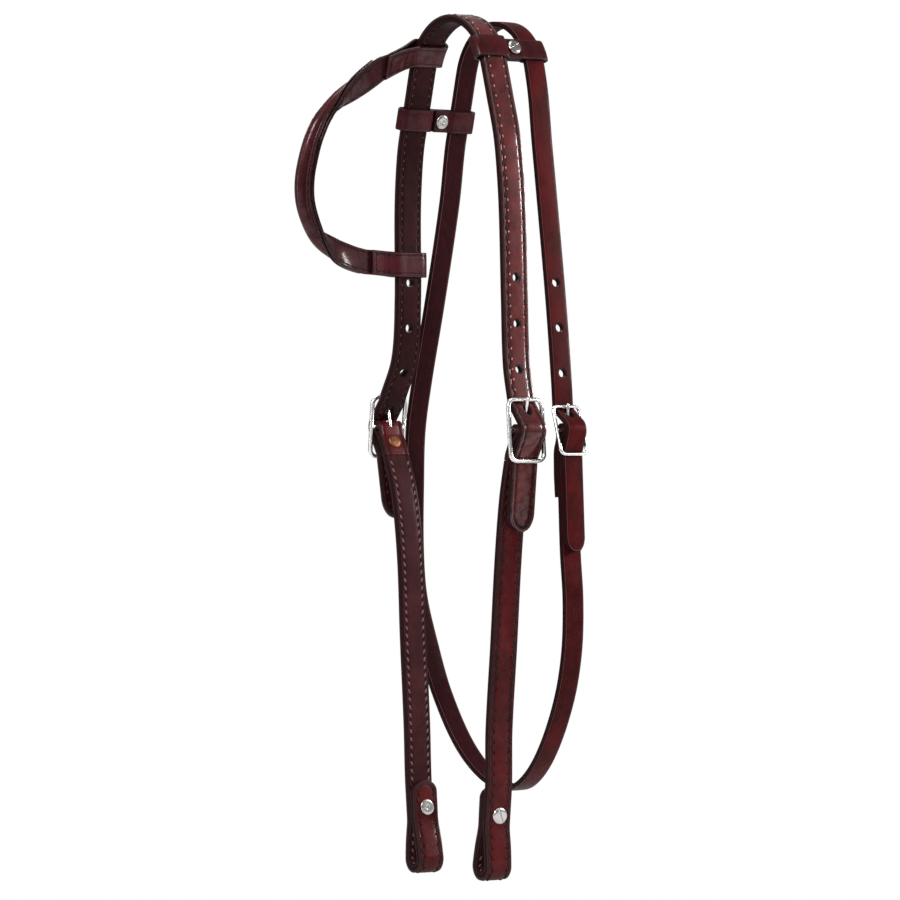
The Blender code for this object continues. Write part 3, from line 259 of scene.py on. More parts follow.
def nickelFinish(name, bright, worn):
    # nickel plate with hairline rubs and a few duller patches
    s = Shader(name)
    place = s.objectPlace()
    hair = s.noise(s.stretched(place, (1.0, 1.0, 0.08)), 4200.0, 3.0, 0.7)
    patch = s.noise(place, 240.0, 3.0)
    pits = s.cells(place, 900.0)
    dull = patch.rise(0.5, 0.72)
    tone = s.mix(dull, bright, worn)
    return s.finish({
        "Base Color": tone, "Metallic": 1.0, "Roughness": 0.18 + 0.10 * dull + 0.10 * hair,
        "Normal": s.bump(hair * 0.25 + (1 - pits.rise(0.0, 0.12)) * -0.4 + patch * 0.6, 0.00008),
    })


def copperFinish():
    # a copper rivet gone brown, with hammer facets
    s = Shader("rivetCopper")
    place = s.objectPlace()
    tarnish = s.noise(place, 420.0, 4.0, 0.6)
    facet = s.cells(place, 620.0)
    speck = s.noise(place, 2300.0, 2.0)
    tone = s.mix(tarnish.rise(0.38, 0.66), colour(0.31, 0.135, 0.070), colour(0.145, 0.062, 0.036))
    tone = s.mix(speck.rise(0.62, 0.75) * 0.5, tone, colour(0.07, 0.035, 0.025))
    return s.finish({
        "Base Color": tone, "Metallic": 1.0, "Roughness": 0.40 + 0.22 * tarnish,
        "Normal": s.bump(facet * 0.7 + speck * 0.12, 0.00018),
    })


def cordFinish():
    s = Shader("fillerCord")
    place = s.objectPlace()
    fibre = s.noise(s.stretched(place, (1.0, 0.3, 1.0)), 2100.0, 4.0)
    tone = s.mix(fibre, colour(0.22, 0.18, 0.12), colour(0.42, 0.36, 0.26))
    return s.finish({"Base Color": tone, "Roughness": 0.85, "Normal": s.bump(fibre, 0.0002)})


nickel = nickelFinish("nickelPlate", colour(0.86, 0.845, 0.825), colour(0.68, 0.67, 0.66))
# darker copies of the same nickel plate for the keeper and bit screws: painted shade for the dimmer reflections they
# show
shadedScrewNickel = nickelFinish("screwPlate", colour(0.46, 0.44, 0.43), colour(0.27, 0.25, 0.245))
shadedBitNickel = nickelFinish("bitScrewPlate", colour(0.62, 0.60, 0.59), colour(0.36, 0.34, 0.335))
copper = copperFinish()
cord = cordFinish()
crownLeather = strapLeather("crownLeather", dict(strapLook, face=colour(0.112, 0.0078, 0.0082), coat=1.0,
                            rimHighlight=0.75, rimHighlightTone=colour(0.270, 0.095, 0.085), coatRoughness=0.13, gloss=0.33, shine=0.17))
cheekLeather = strapLeather("cheekLeather", dict(strapLook, face=colour(0.090, 0.0050, 0.0070), coat=0.14, shine=0.18))
plainLeather = strapLeather("throatLeather", dict(strapLook, rimHighlight=0.60, rimHighlightTone=colour(0.190, 0.070, 0.075), coat=0.05,
                            face=colour(0.080, 0.0052, 0.0060), faceDeep=colour(0.034, 0.0032, 0.0038),
                            gloss=0.36, shine=0.06), stitched=False)
keeperLeather = strapLeather("keeperLeather", dict(strapLook, face=colour(0.058, 0.0062, 0.0085), coat=0.25,
                             faceDeep=colour(0.026, 0.0036, 0.0050), back=colour(0.022, 0.0042, 0.0050),
                             backDeep=colour(0.010, 0.0028, 0.0034), shine=0.10), stitched=False)
earLeather = strapLeather("earLeather", dict(strapLook, stitchRow=0.0021, face=colour(0.064, 0.0085, 0.0120), rimHighlight=0.55,
                          faceDeep=colour(0.030, 0.0050, 0.0070), back=colour(0.022, 0.0050, 0.0056),
                          backDeep=colour(0.010, 0.0030, 0.0036), coat=0.48, coatRoughness=0.12, shine=0.16), backIsFace=True)
liningLook = dict(strapLook, face=colour(0.027, 0.0050, 0.0058), faceDeep=colour(0.013, 0.0030, 0.0036), coat=0.05,
                  back=colour(0.027, 0.0050, 0.0058), backDeep=colour(0.013, 0.0030, 0.0036), gloss=0.40, shine=0.08)
liningLeather = strapLeather("liningLeather", liningLook)
# a lighter copy of the lining for the cheeks' inside faces: the extra brightness paints the light that falls there
cheekInside = strapLeather("cheekInside", dict(liningLook, face=colour(0.058, 0.0150, 0.0170),
                           faceDeep=colour(0.030, 0.0085, 0.0100), back=colour(0.058, 0.0150, 0.0170),
                           backDeep=colour(0.030, 0.0085, 0.0100)))
darkThread = threadFinish("darkThread", colour(0.003, 0.002, 0.002), colour(0.014, 0.007, 0.008))
dimThread = threadFinish("dimThread", colour(0.024, 0.010, 0.011), colour(0.075, 0.032, 0.033))
# a lighter copy of the lining-stitch thread: its pale tone paints the glint on the cheeks' back stitches
paleThread = threadFinish("paleThread", colour(0.080, 0.040, 0.041), colour(0.225, 0.135, 0.135))
# a pale leather for the beads between the crown's outer stitches: its light tone is a painted highlight, the glint on
# the leather there
bulgeLeather = strapLeather("bulgeLeather", dict(strapLook, face=colour(0.480, 0.210, 0.200),
                            faceDeep=colour(0.300, 0.110, 0.105), coat=0.9, gloss=0.30, shine=0.5, rimHighlight=0.0), stitched=False)
print("finishes made")


# Modelling by operators

def pick(thing):
    if bpy.context.object and bpy.context.object.mode != "OBJECT":
        bpy.ops.object.mode_set(mode="OBJECT")
    bpy.ops.object.select_all(action="DESELECT")
    thing.select_set(True)
    bpy.context.view_layer.objects.active = thing


def added(name, operator, **settings):
    if bpy.context.object and bpy.context.object.mode != "OBJECT":
        bpy.ops.object.mode_set(mode="OBJECT")
    bpy.ops.object.select_all(action="DESELECT")
    operator(**settings)
    thing = bpy.context.object
    thing.name = name
    thing.data.name = name
    return thing


def settle(thing):
    # the object goes to the origin, unturned and unscaled, and its place into its mesh
    pick(thing)
    bpy.ops.object.transform_apply(location=True, rotation=True, scale=True)


def modify(thing, kind, **settings):
    pick(thing)
    step = thing.modifiers.new(kind.lower(), kind)
    for name, value in settings.items():
        setattr(step, name, value)
    bpy.ops.object.modifier_apply(modifier=step.name)


def cutAway(thing, cutter, operation="DIFFERENCE"):
    modify(thing, "BOOLEAN", operation=operation, solver="EXACT", object=cutter)


def dropped(*things):
    for thing in things:
        bpy.data.objects.remove(thing, do_unlink=True)


def joined(name, things):
    pick(things[0])
    for thing in things[1:]:
        thing.select_set(True)
    if len(things) > 1:
        bpy.ops.object.join()
    things[0].name = name
    things[0].data.name = name
    return things[0]


def pointsOf(thing):
    flat = np.zeros(len(thing.data.vertices) * 3)
    thing.data.vertices.foreach_get("co", flat)
    return flat.reshape(-1, 3)


def movePoints(thing, points):
    thing.data.vertices.foreach_set("co", np.asarray(points, dtype=float).ravel())
    thing.data.update()


def writeAttribute(thing, name, values, kind="FLOAT"):
    made = thing.data.attributes.new(name, kind, "POINT")
    made.data.foreach_set("value" if kind == "FLOAT" else "vector", np.asarray(values, dtype=float).ravel())


def smoothed(thing, degrees=38.0):
    pick(thing)
    bpy.ops.object.shade_smooth_by_angle(angle=math.radians(degrees))


def dressed(thing, finish, slotName, body, *nodes):
    thing.data.materials.clear()
    thing.data.materials.append(finish)
    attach(thing, body)
    if nodes:
        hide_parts(*nodes)
    return thing


# Ways the leather runs

def curvePoints(points, step=0.0006):
    ends = [2 * points[0] - points[1]] + list(points) + [2 * points[-1] - points[-2]]
    out = []
    for before, start, stop, after in zip(ends, ends[1:], ends[2:], ends[3:]):
        reach = (stop - start).length
        count = max(2, int(math.ceil(reach / step)))
        riseIn = (stop - before) / ((start - before).length + reach)
        riseOut = (after - start) / ((after - stop).length + reach)
        for k in range(count):
            t = k / count
            a = 2 * t ** 3 - 3 * t ** 2 + 1
            b = t ** 3 - 2 * t ** 2 + t
            c = -2 * t ** 3 + 3 * t ** 2
            d = t ** 3 - t ** 2
            out.append(a * start + b * reach * riseIn + c * stop + d * reach * riseOut)
    out.append(points[-1].copy())
    return out


class Way:
    # a finely sampled curve, read by the length run along it
    def __init__(self, points):
        self.points = curvePoints(points)
        self.fine = np.array([tuple(p) for p in self.points])
        steps = np.linalg.norm(np.diff(self.fine, axis=0), axis=1)
        self.runs = np.concatenate(([0.0], np.cumsum(steps)))
        self.length = float(self.runs[-1])

    def at(self, run):
        run = min(max(run, 0.0), self.length)
        return Vector([float(np.interp(run, self.runs, self.fine[:, k])) for k in range(3)])

    def heading(self, run, reach=0.0006):
        low = max(run - reach, 0.0)
        high = min(run + reach, self.length)
        return (self.at(high) - self.at(low)).normalized()

    def nearest(self, place):
        gaps = np.linalg.norm(self.fine - np.array(tuple(place)), axis=1)
        return float(self.runs[int(np.argmin(gaps))])


def squareTo(heading, wanted=yAxis):
    return (wanted - wanted.dot(heading) * heading).normalized()


class Ribbon:
    # a bent sheet: rows of points across it, at known runs, that flat leather is laid on
    def __init__(self, runs, rows, width):
        self.runs = np.array(runs)
        self.grid = np.array([[tuple(p) for p in row] for row in rows])
        self.width = width
        along = np.gradient(self.grid, self.runs, axis=0)
        across = np.gradient(self.grid, axis=1)
        normal = np.cross(along, across)
        self.normal = normal / np.linalg.norm(normal, axis=2, keepdims=True)
        self.length = float(self.runs[-1])

    def lay(self, flat):
        x, y, z = flat[:, 0], flat[:, 1], flat[:, 2]
        i = np.clip(np.searchsorted(self.runs, x, side="right") - 1, 0, len(self.runs) - 2)
        s = np.clip((x - self.runs[i]) / (self.runs[i + 1] - self.runs[i]), -2.0, 3.0)[:, None]
        columns = self.grid.shape[1] - 1
        c = (y / self.width + 0.5) * columns
        j = np.clip(np.floor(c).astype(int), 0, columns - 1)
        t = (c - j)[:, None]

        def between(table):
            low = table[i, j] * (1 - t) + table[i, j + 1] * t
            high = table[i + 1, j] * (1 - t) + table[i + 1, j + 1] * t
            return low * (1 - s) + high * s

        normal = between(self.normal)
        normal /= np.linalg.norm(normal, axis=1, keepdims=True)
        return between(self.grid) + normal * z[:, None]


def strapRibbon(way, width, sideAt, step=0.0008):
    runs = list(np.linspace(0.0, way.length, int(way.length / step)))
    rows = []
    for run in runs:
        heading = way.heading(run)
        side = squareTo(heading, sideAt(run))
        rows.append([way.at(run) + side * width / 2 * k for k in (-1, 0, 1)])
    return Ribbon(runs, rows, width)


def tipShare(distance, length):
    return np.sqrt(np.clip(1 - (1 - np.clip(distance / length, 0, 1)) ** 2, 0, 1))


def edgeAway(x, y, start, stop, half, startTip, stopTip, butted):
    # distance in from the strap's outline, rounded tips included; a butted start has no edge of its own
    away = half - np.abs(y)
    ends = [(stop - x, stopTip)] if butted else [(x - start, startTip), (stop - x, stopTip)]
    for distance, length in ends:
        if length:
            inTip = distance < length
            ring = np.sqrt(np.clip((length - distance) / length, 0, None) ** 2 + (y / half) ** 2)
            away = np.where(inTip, (1 - ring) * min(half, length), away)
        else:
            away = np.minimum(away, distance)
    return away


def leatherStrip(name, ribbon, size, holes=(), slots=()):
    # a strip cut flat, its edges rounded and its holes punched, then laid on its ribbon
    start, stop, half = size["start"], size["stop"], size["width"] / 2
    startTip, stopTip = size.get("startTip", 0.0), size.get("stopTip", 0.0)
    count = int((stop - start) / size.get("step", 0.0012))
    strip = added(name, bpy.ops.mesh.primitive_grid_add, x_subdivisions=count,
                  y_subdivisions=2 * len(size["across"]) - 2 if "across" in size else size.get("columns", 8), size=1.0)
    points = pointsOf(strip)
    points[:, 0] = start + (points[:, 0] + 0.5) * (stop - start)
    if "across" in size:
        # columns stand closer by the stitch rows
        last = len(size["across"]) - 1
        column = np.rint(points[:, 1] * 2 * last).astype(int)
        points[:, 1] = np.sign(column) * np.array(size["across"])[np.abs(column)] / 2
    points[:, 1] *= 2 * half
    shrink = np.ones(len(points))
    if startTip:
        shrink = np.minimum(shrink, tipShare(points[:, 0] - start + 0.00012, startTip))
    if stopTip:
        shrink = np.minimum(shrink, tipShare(stop - points[:, 0] + 0.00012, stopTip))
    points[:, 1] *= shrink
    movePoints(strip, points)
    layer = size["layer"]
    modify(strip, "SOLIDIFY", thickness=layer, offset=0.0)
    modify(strip, "BEVEL", width=size.get("edge", 0.0006), segments=3, limit_method="ANGLE",
           angle_limit=math.radians(55))
    for x, y, radius, stretch in holes:
        punch = added("punch", bpy.ops.mesh.primitive_cylinder_add, vertices=32, radius=radius,
                      depth=layer * 4, location=(x, y, 0.0))
        punch.scale = ((radius + stretch) / radius, 1.0, 1.0)
        settle(punch)
        cutAway(strip, punch)
        dropped(punch)
    for x, y, long, wide in slots:
        punch = added("punch", bpy.ops.mesh.primitive_cube_add, size=1.0, location=(x, y, 0.0))
        punch.scale = (long, wide, layer * 4)
        settle(punch)
        cutAway(strip, punch)
        dropped(punch)
    pick(strip)
    bpy.ops.object.mode_set(mode="EDIT")
    bpy.ops.mesh.select_mode(type="FACE")
    bpy.ops.mesh.select_all(action="DESELECT")
    bpy.ops.mesh.select_face_by_sides(number=4, type="GREATER")
    bpy.ops.mesh.quads_convert_to_tris(quad_method="BEAUTY", ngon_method="BEAUTY")
    bpy.ops.object.mode_set(mode="OBJECT")
    points = pointsOf(strip)
    away = edgeAway(points[:, 0], points[:, 1], start, stop, half, startTip, stopTip, size.get("butted", False))
    crown = size.get("crowned", 0.00012)
    dip = size.get("rowDip", 0.0)
    rise = crown * (1 - (points[:, 1] / half) ** 2)
    if dip:
        rise -= dip * np.exp(-((away - size["row"]) / 0.00065) ** 2)
    face = np.clip(points[:, 2] / (layer / 2), -1, 1)
    # where a strap has two layers, only the bare faces swell and dip
    bare = size.get("bare", 0)
    swelled = face if bare == 0 else np.clip(face * bare, 0, 1) * bare
    toHole = np.full(len(points), 0.005)
    for x, y, radius, stretch in holes:
        long = (points[:, 0] - x) * radius / (radius + stretch)
        toHole = np.minimum(toHole, np.hypot(long, points[:, 1] - y) - radius)
    writeAttribute(strip, "holeAway", toHole)
    writeAttribute(strip, "edgeAway", away)
    writeAttribute(strip, "lift", face)
    writeAttribute(strip, "flat", points, "FLOAT_VECTOR")
    bent = points.copy()
    bent[:, 2] += size.get("lift", 0.0) + rise * swelled
    movePoints(strip, ribbon.lay(bent))
    smoothed(strip)
    return strip


def stitchRow(ribbon, size, start, stop, across, height, flip=1.0, shift=0.5):
    # one stitch modelled, then arrayed flat along its row and laid on the ribbon
    stitch = added("stitch", bpy.ops.mesh.primitive_uv_sphere_add, segments=8, ring_count=6, radius=0.5)
    stitch.scale = (size["long"], size["thick"], size["tall"])
    stitch.rotation_euler = (0.0, 0.0, math.radians(size["slant"]) * flip)
    settle(stitch)
    points = pointsOf(stitch)
    # squarer ends than a ball's, so that it lies like a drawn-down length of thread
    reach = size["long"] / 2
    points[:, 0] = np.sign(points[:, 0]) * reach * np.abs(points[:, 0] / reach) ** 0.8
    movePoints(stitch, points)
    count = max(1, int(round((stop - start) / size["pitch"])))
    pitch = (stop - start) / count
    modify(stitch, "ARRAY", count=count, use_relative_offset=False, use_constant_offset=True,
           constant_offset_displace=(pitch, 0.0, 0.0))
    points = pointsOf(stitch)
    points[:, 0] += start + pitch * shift
    points[:, 1] += across
    points[:, 2] += height
    writeAttribute(stitch, "flat", points, "FLOAT_VECTOR")
    writeAttribute(stitch, "edgeAway", np.full(len(points), 0.004))
    writeAttribute(stitch, "holeAway", np.full(len(points), 0.005))
    writeAttribute(stitch, "lift", np.full(len(points), 1.0))
    movePoints(stitch, ribbon.lay(points))
    smoothed(stitch, 60.0)
    return stitch


# The buckles' places and the weave through them

crownStrap = {"width": 0.0159, "layer": 0.0020, "gap": 0.0003, "tip": 0.0110, "holeRadius": 0.0025,
              "holeSpacing": 0.0260, "holeStretch": 0.0014, "nearTail": 0.0560, "offTail": 0.0515}
throatStrap = {"width": 0.0127, "layer": 0.0028, "tip": 0.0090, "tail": 0.0665, "turnback": 0.0380,
               "spacing": 0.0295, "archInset": 0.0020, "bottomDrop": 0.4420, "reach": 0.0775}
hang = {"arch": 0.0365, "archEnd": math.radians(75.0), "buckleDrop": 0.2370, "buckleReach": 0.0665,
        "bitDrop": 0.4537, "bitReach": 0.0360, "bitBottom": 0.4910, "foldRoot": 0.0066,
        "burrRoom": 0.0014, "foldWrap": math.radians(105.0), "bitLean": math.radians(5.0)}
doubled = 2 * crownStrap["layer"] + crownStrap["gap"]
layerLift = (crownStrap["layer"] + crownStrap["gap"]) / 2
archCentreZ = doubled / 2 - hang["arch"]


class Buckle:
    def __init__(self, name, side, centre, tilt, wire, tongue, height, corner, room, strap, billet, fold):
        self.name, self.side, self.centre = name, side, centre
        self.wire, self.tongue, self.corner, self.room = wire, tongue, corner, room
        self.strap, self.billet, self.fold = strap, billet, fold
        self.pitch = height / 2 - wire
        gap = crownStrap["gap"]
        self.out = Vector((side * math.cos(tilt), 0.0, math.sin(tilt)))
        self.up = Vector((-side * math.sin(tilt), 0.0, math.cos(tilt)))
        self.ring = wire + gap + tongue
        self.foldRound = wire + gap + fold / 2
        self.reach = max(wire + gap + fold, self.ring + tongue)
        self.over = self.reach + gap + billet / 2
        self.under = wire + gap + billet / 2
        self.slope = math.asin((self.over + self.under) / self.pitch)

    def place(self, out, up, back=0.0):
        return self.centre + self.out * out + self.up * up + yAxis * back

    def arc(self, radius, up, start, stop, count=5):
        angles = [start + (stop - start) * k / (count - 1) for k in range(count)]
        return [self.place(radius * math.cos(a), up + radius * math.sin(a)) for a in angles]

    def weave(self):
        points = self.arc(self.under, self.pitch, math.pi, math.pi + self.slope)
        points += self.arc(self.over, 0.0, self.slope, -self.slope, 7)
        return points + self.arc(self.under, -self.pitch, math.pi - self.slope, math.pi)

    def tail(self, lean, length):
        drop = length - self.pitch
        return [self.place(-self.under - drop * s * math.tan(lean), -self.pitch - drop * s) for s in (0.35, 0.7, 1.0)]

    def foldLean(self, stack):
        radius = self.under + self.billet / 2 + hang["burrRoom"] + stack / 2
        return math.asin(radius / self.pitch), radius

    def foldPoints(self, lean):
        up = self.up * math.cos(lean) + self.out * math.sin(lean)
        out = self.out * math.cos(lean) - self.up * math.sin(lean)
        angles = [-hang["foldWrap"] + 2 * hang["foldWrap"] * k / 8 for k in range(9)]
        return [self.centre + (up * math.cos(a) + out * math.sin(a)) * self.foldRound for a in angles]


def height(drop):
    return doubled - drop


tilt = math.radians(5.0)
nearBuckle = Buckle("near", 1, Vector((hang["buckleReach"], 0.0, height(0.2370))), tilt,
                    0.0013, 0.0011, 0.0370, 0.0042, 0.0022, 0.0159, doubled, 0.0020)
offBuckle = Buckle("off", -1, Vector((-hang["buckleReach"] - 0.0045, 0.0, height(0.2345))), tilt,
                   0.0013, 0.0011, 0.0370, 0.0042, 0.0022, 0.0159, doubled, 0.0020)
throatBuckle = Buckle("throat", 1, Vector((0.0755, 0.0238, height(0.2370))), math.radians(18.0),
                      0.0010, 0.0010, 0.0300, 0.0030, 0.0016, 0.0127, 0.0028, 0.0028)

nearCrown = ((0.6195, 0.2042), (0.7203, 0.2996), (0.7729, 0.3966), (0.8015, 0.4937), (0.8286, 0.6852),
             (0.8571, 0.8439))
offCrown = ((0.743, 0.385), (0.760, 0.480), (0.757, 0.684), (0.806, 0.823))
straightShare = 0.310
nearCheek = ((0.430, 0.180), (0.575, 0.340), (0.712, 0.560), (0.860, 0.780))
offCheek = ((0.490, 0.180), (0.657, 0.340), (0.745, 0.560), (0.850, 0.780))


def archPoints(side, radius, back, count=8):
    angles = [hang["archEnd"] * k / (count - 1) for k in range(count)]
    return [Vector((side * radius * math.sin(a), back, archCentreZ + radius * math.cos(a))) for a in angles]


def belowArch(side, radius, back, count=3):
    end = hang["archEnd"]
    start = Vector((side * radius * math.sin(end), back, archCentreZ + radius * math.cos(end)))
    way = Vector((side * math.cos(end), 0.0, -math.sin(end)))
    run = (start.z - height(hang["buckleDrop"] * straightShare)) / -way.z
    return [start + way * run * k / count for k in range(1, count + 1)]


def crownSide(side, buckle, shares, lean, tail):
    points = archPoints(side, hang["arch"], 0.0)
    if side < 0:
        points += belowArch(side, hang["arch"], 0.0)
    for reachShare, dropShare in shares:
        points.append(Vector((side * hang["buckleReach"] * reachShare, 0.0, height(hang["buckleDrop"] * dropShare))))
    return points + buckle.weave() + buckle.tail(math.radians(lean), tail)


def bitPlace(side, out, down):
    lean = hang["bitLean"]
    middle = Vector((side * hang["bitReach"], 0.0, height(hang["bitDrop"])))
    outAxis = Vector((side * math.cos(lean), 0.0, -math.sin(lean)))
    downAxis = Vector((-side * math.sin(lean), 0.0, -math.cos(lean)))
    return middle + outAxis * out + downAxis * down, outAxis, downAxis


bitEnd = {"inner": 0.0072, "closed": 0.0075, "rise": 0.0155, "tip": 0.0065}


def cheekPoints(side, buckle, shares):
    lean, radius = buckle.foldLean(doubled)
    root = buckle.centre + (buckle.up * -math.cos(lean) - buckle.out * math.sin(lean)) * hang["foldRoot"]
    tangent = math.pi - lean
    points = [root] + buckle.arc(radius, -buckle.pitch, tangent, tangent + lean * 0.45, 3)
    start, stop = buckle.centre, bitPlace(side, 0.0, 0.0)[0]
    for reachShare, dropShare in shares:
        points.append(Vector((start.x + (stop.x - start.x) * reachShare, 0.0,
                              start.z + (stop.z - start.z) * dropShare)))
    leg = (doubled + crownStrap["gap"]) / 2
    ring = (bitEnd["inner"] + doubled) / 2
    bottom = hang["bitBottom"] - hang["bitDrop"] - ring - doubled / 2
    opening = (bitEnd["closed"] + bottom) / 2
    halfWay = leg + (ring - leg) * 0.62
    for out, down in ((leg, -bitEnd["rise"] * 1.2), (leg, 0.0), (leg, bitEnd["closed"]), (halfWay, opening)):
        points.append(bitPlace(side, out, down)[0])
    for k in range(9):
        angle = math.pi * k / 8
        points.append(bitPlace(side, ring * math.cos(angle), bottom + ring * math.sin(angle))[0])
    for out, down in ((-halfWay, opening), (-leg, bitEnd["closed"]), (-leg, 0.0), (-leg, -bitEnd["rise"])):
        points.append(bitPlace(side, out, down)[0])
    return points


def flipped(points):
    return list(reversed(points))


crownWay = Way(flipped(crownSide(-1, offBuckle, offCrown, 16.0, crownStrap["offTail"]))
               + crownSide(1, nearBuckle, nearCrown, 11.0, crownStrap["nearTail"])[1:])


def heldRun(buckle, way):
    # where the tongue's way crosses the billet's way
    low = way.nearest(buckle.place(buckle.over, 0.0))
    high = way.nearest(buckle.place(-buckle.under, buckle.pitch))
    root = buckle.place(-buckle.ring, 0.0)
    aim = (buckle.place(buckle.wire + crownStrap["gap"] + buckle.tongue, buckle.pitch) - root).normalized()
    runs = [low + (high - low) * k / 60 for k in range(61)]
    return min(runs, key=lambda run: ((way.at(run) - root) - (way.at(run) - root).dot(aim) * aim).length)


# Crown strap

stitchedAcross = (0.0, 0.33, 0.53, 0.62, 0.675, 0.723, 0.78, 1.0)
crownLook = {"row": 0.0022, "stitch": {"long": 0.0041, "thick": 0.00135, "tall": 0.00080, "slant": 12.0, "pitch": 0.0060},
             "dot": {"long": 0.0021, "thick": 0.00095, "tall": 0.00055, "slant": 8.0, "pitch": 0.0048},
             "backStitch": {"long": 0.0029, "thick": 0.00125, "tall": 0.00065, "slant": 24.0, "pitch": 0.0046},
             "bulge": {"long": 0.0016, "thick": 0.00100, "tall": 0.00060, "slant": 0.0, "pitch": 0.0060}}
crownRibbon = strapRibbon(crownWay, crownStrap["width"], lambda run: yAxis)


def makeCrown():
    holes = []
    for buckle, direction in ((nearBuckle, -1), (offBuckle, 1)):
        held = heldRun(buckle, crownWay)
        for k in range(4):
            stretch = crownStrap["holeStretch"] if k == 0 else 0.0
            holes.append((held + direction * crownStrap["holeSpacing"] * k, 0.0, crownStrap["holeRadius"], stretch))
    size = {"start": 0.0, "stop": crownWay.length, "width": crownStrap["width"], "layer": crownStrap["layer"],
            "startTip": crownStrap["tip"], "stopTip": crownStrap["tip"], "row": crownLook["row"], "rowDip": 0.00026,
            "across": stitchedAcross}
    half = crownStrap["width"] / 2 - crownLook["row"]
    surface = crownStrap["layer"] / 2 + layerLift
    # the lining lies flatter, so that a lifted tongue clears it
    for name, lift, finish, thread, sign, swell in (
            ("crownOuter", layerLift, crownLeather, darkThread, 1, 0.00026),
            ("crownLining", -layerLift, liningLeather, dimThread, -1, 0.00004)):
        strip = leatherStrip(name, crownRibbon, dict(size, lift=lift, bare=sign, crowned=swell), holes)
        if sign < 0:
            turnFace(strip)
        node = "crown_outer" if sign > 0 else "crown_lining"
        dressed(strip, finish, "leather_face" if sign > 0 else "leather_lining", "crown", node)
        stitch = crownLook["stitch"] if sign > 0 else crownLook["dot"]
        rows = [stitchRow(crownRibbon, stitch, 0.012, crownWay.length - 0.012, half * k,
                          sign * (surface + 0.00002), flip=sign * k) for k in (-1, 1)]
        for end, inward in ((0.0, 1), (crownWay.length, -1)):
            rows += tipStitches(crownRibbon, stitch, end, inward, crownStrap["tip"],
                                crownStrap["width"] / 2, crownLook["row"], sign * (surface + 0.00002))
        dressed(joined(name + "Stitches", rows), thread, "leather_face" if sign > 0 else "leather_lining", "crown")
        if sign > 0:
            # beads between the outer stitches, in a pale tone that paints their highlight
            first, last = heldRun(offBuckle, crownWay) + 0.008, heldRun(nearBuckle, crownWay) - 0.008
            rows = [stitchRow(crownRibbon, crownLook["bulge"], first, last, (half - 0.0012) * k,
                              surface + 0.00024, shift=1.0) for k in (-1, 1)]
            dressed(joined(name + "Bulges", rows), bulgeLeather, "leather_face", "crown")
    print("crown strap made")


def turnFace(strip):
    # the lining's good side faces the horse, so its face attribute is turned over
    values = np.zeros(len(strip.data.vertices))
    lift = strip.data.attributes["lift"].data
    lift.foreach_get("value", values)
    lift.foreach_set("value", -values)


def tipStitches(ribbon, stitch, end, inward, tip, half, row, height):
    # stitches that follow a rounded tip, each laid square to its own radius
    made = []
    wide, long = half - row, tip - row
    angles = (-68, -38, -10, 18, 46, 74)
    for angle in angles:
        a = math.radians(angle * 1.0)
        x = end + inward * (tip - long * math.cos(a))
        y = wide * math.sin(a)
        slope = math.degrees(math.atan2(wide * math.cos(a), inward * long * math.sin(a)))
        one = added("stitch", bpy.ops.mesh.primitive_uv_sphere_add, segments=8, ring_count=6, radius=0.5)
        one.scale = (stitch["long"] * 0.85, stitch["thick"], stitch["tall"])
        one.rotation_euler = (0.0, 0.0, math.radians(slope))
        one.location = (x, y, height)
        settle(one)
        points = pointsOf(one)
        writeAttribute(one, "flat", points, "FLOAT_VECTOR")
        movePoints(one, ribbon.lay(points))
        made.append(one)
    return made


makeCrown()


# Cheeks

cheekLook = {"row": 0.0022, "turnback": 0.0190, "rivetDrop": 0.0108}


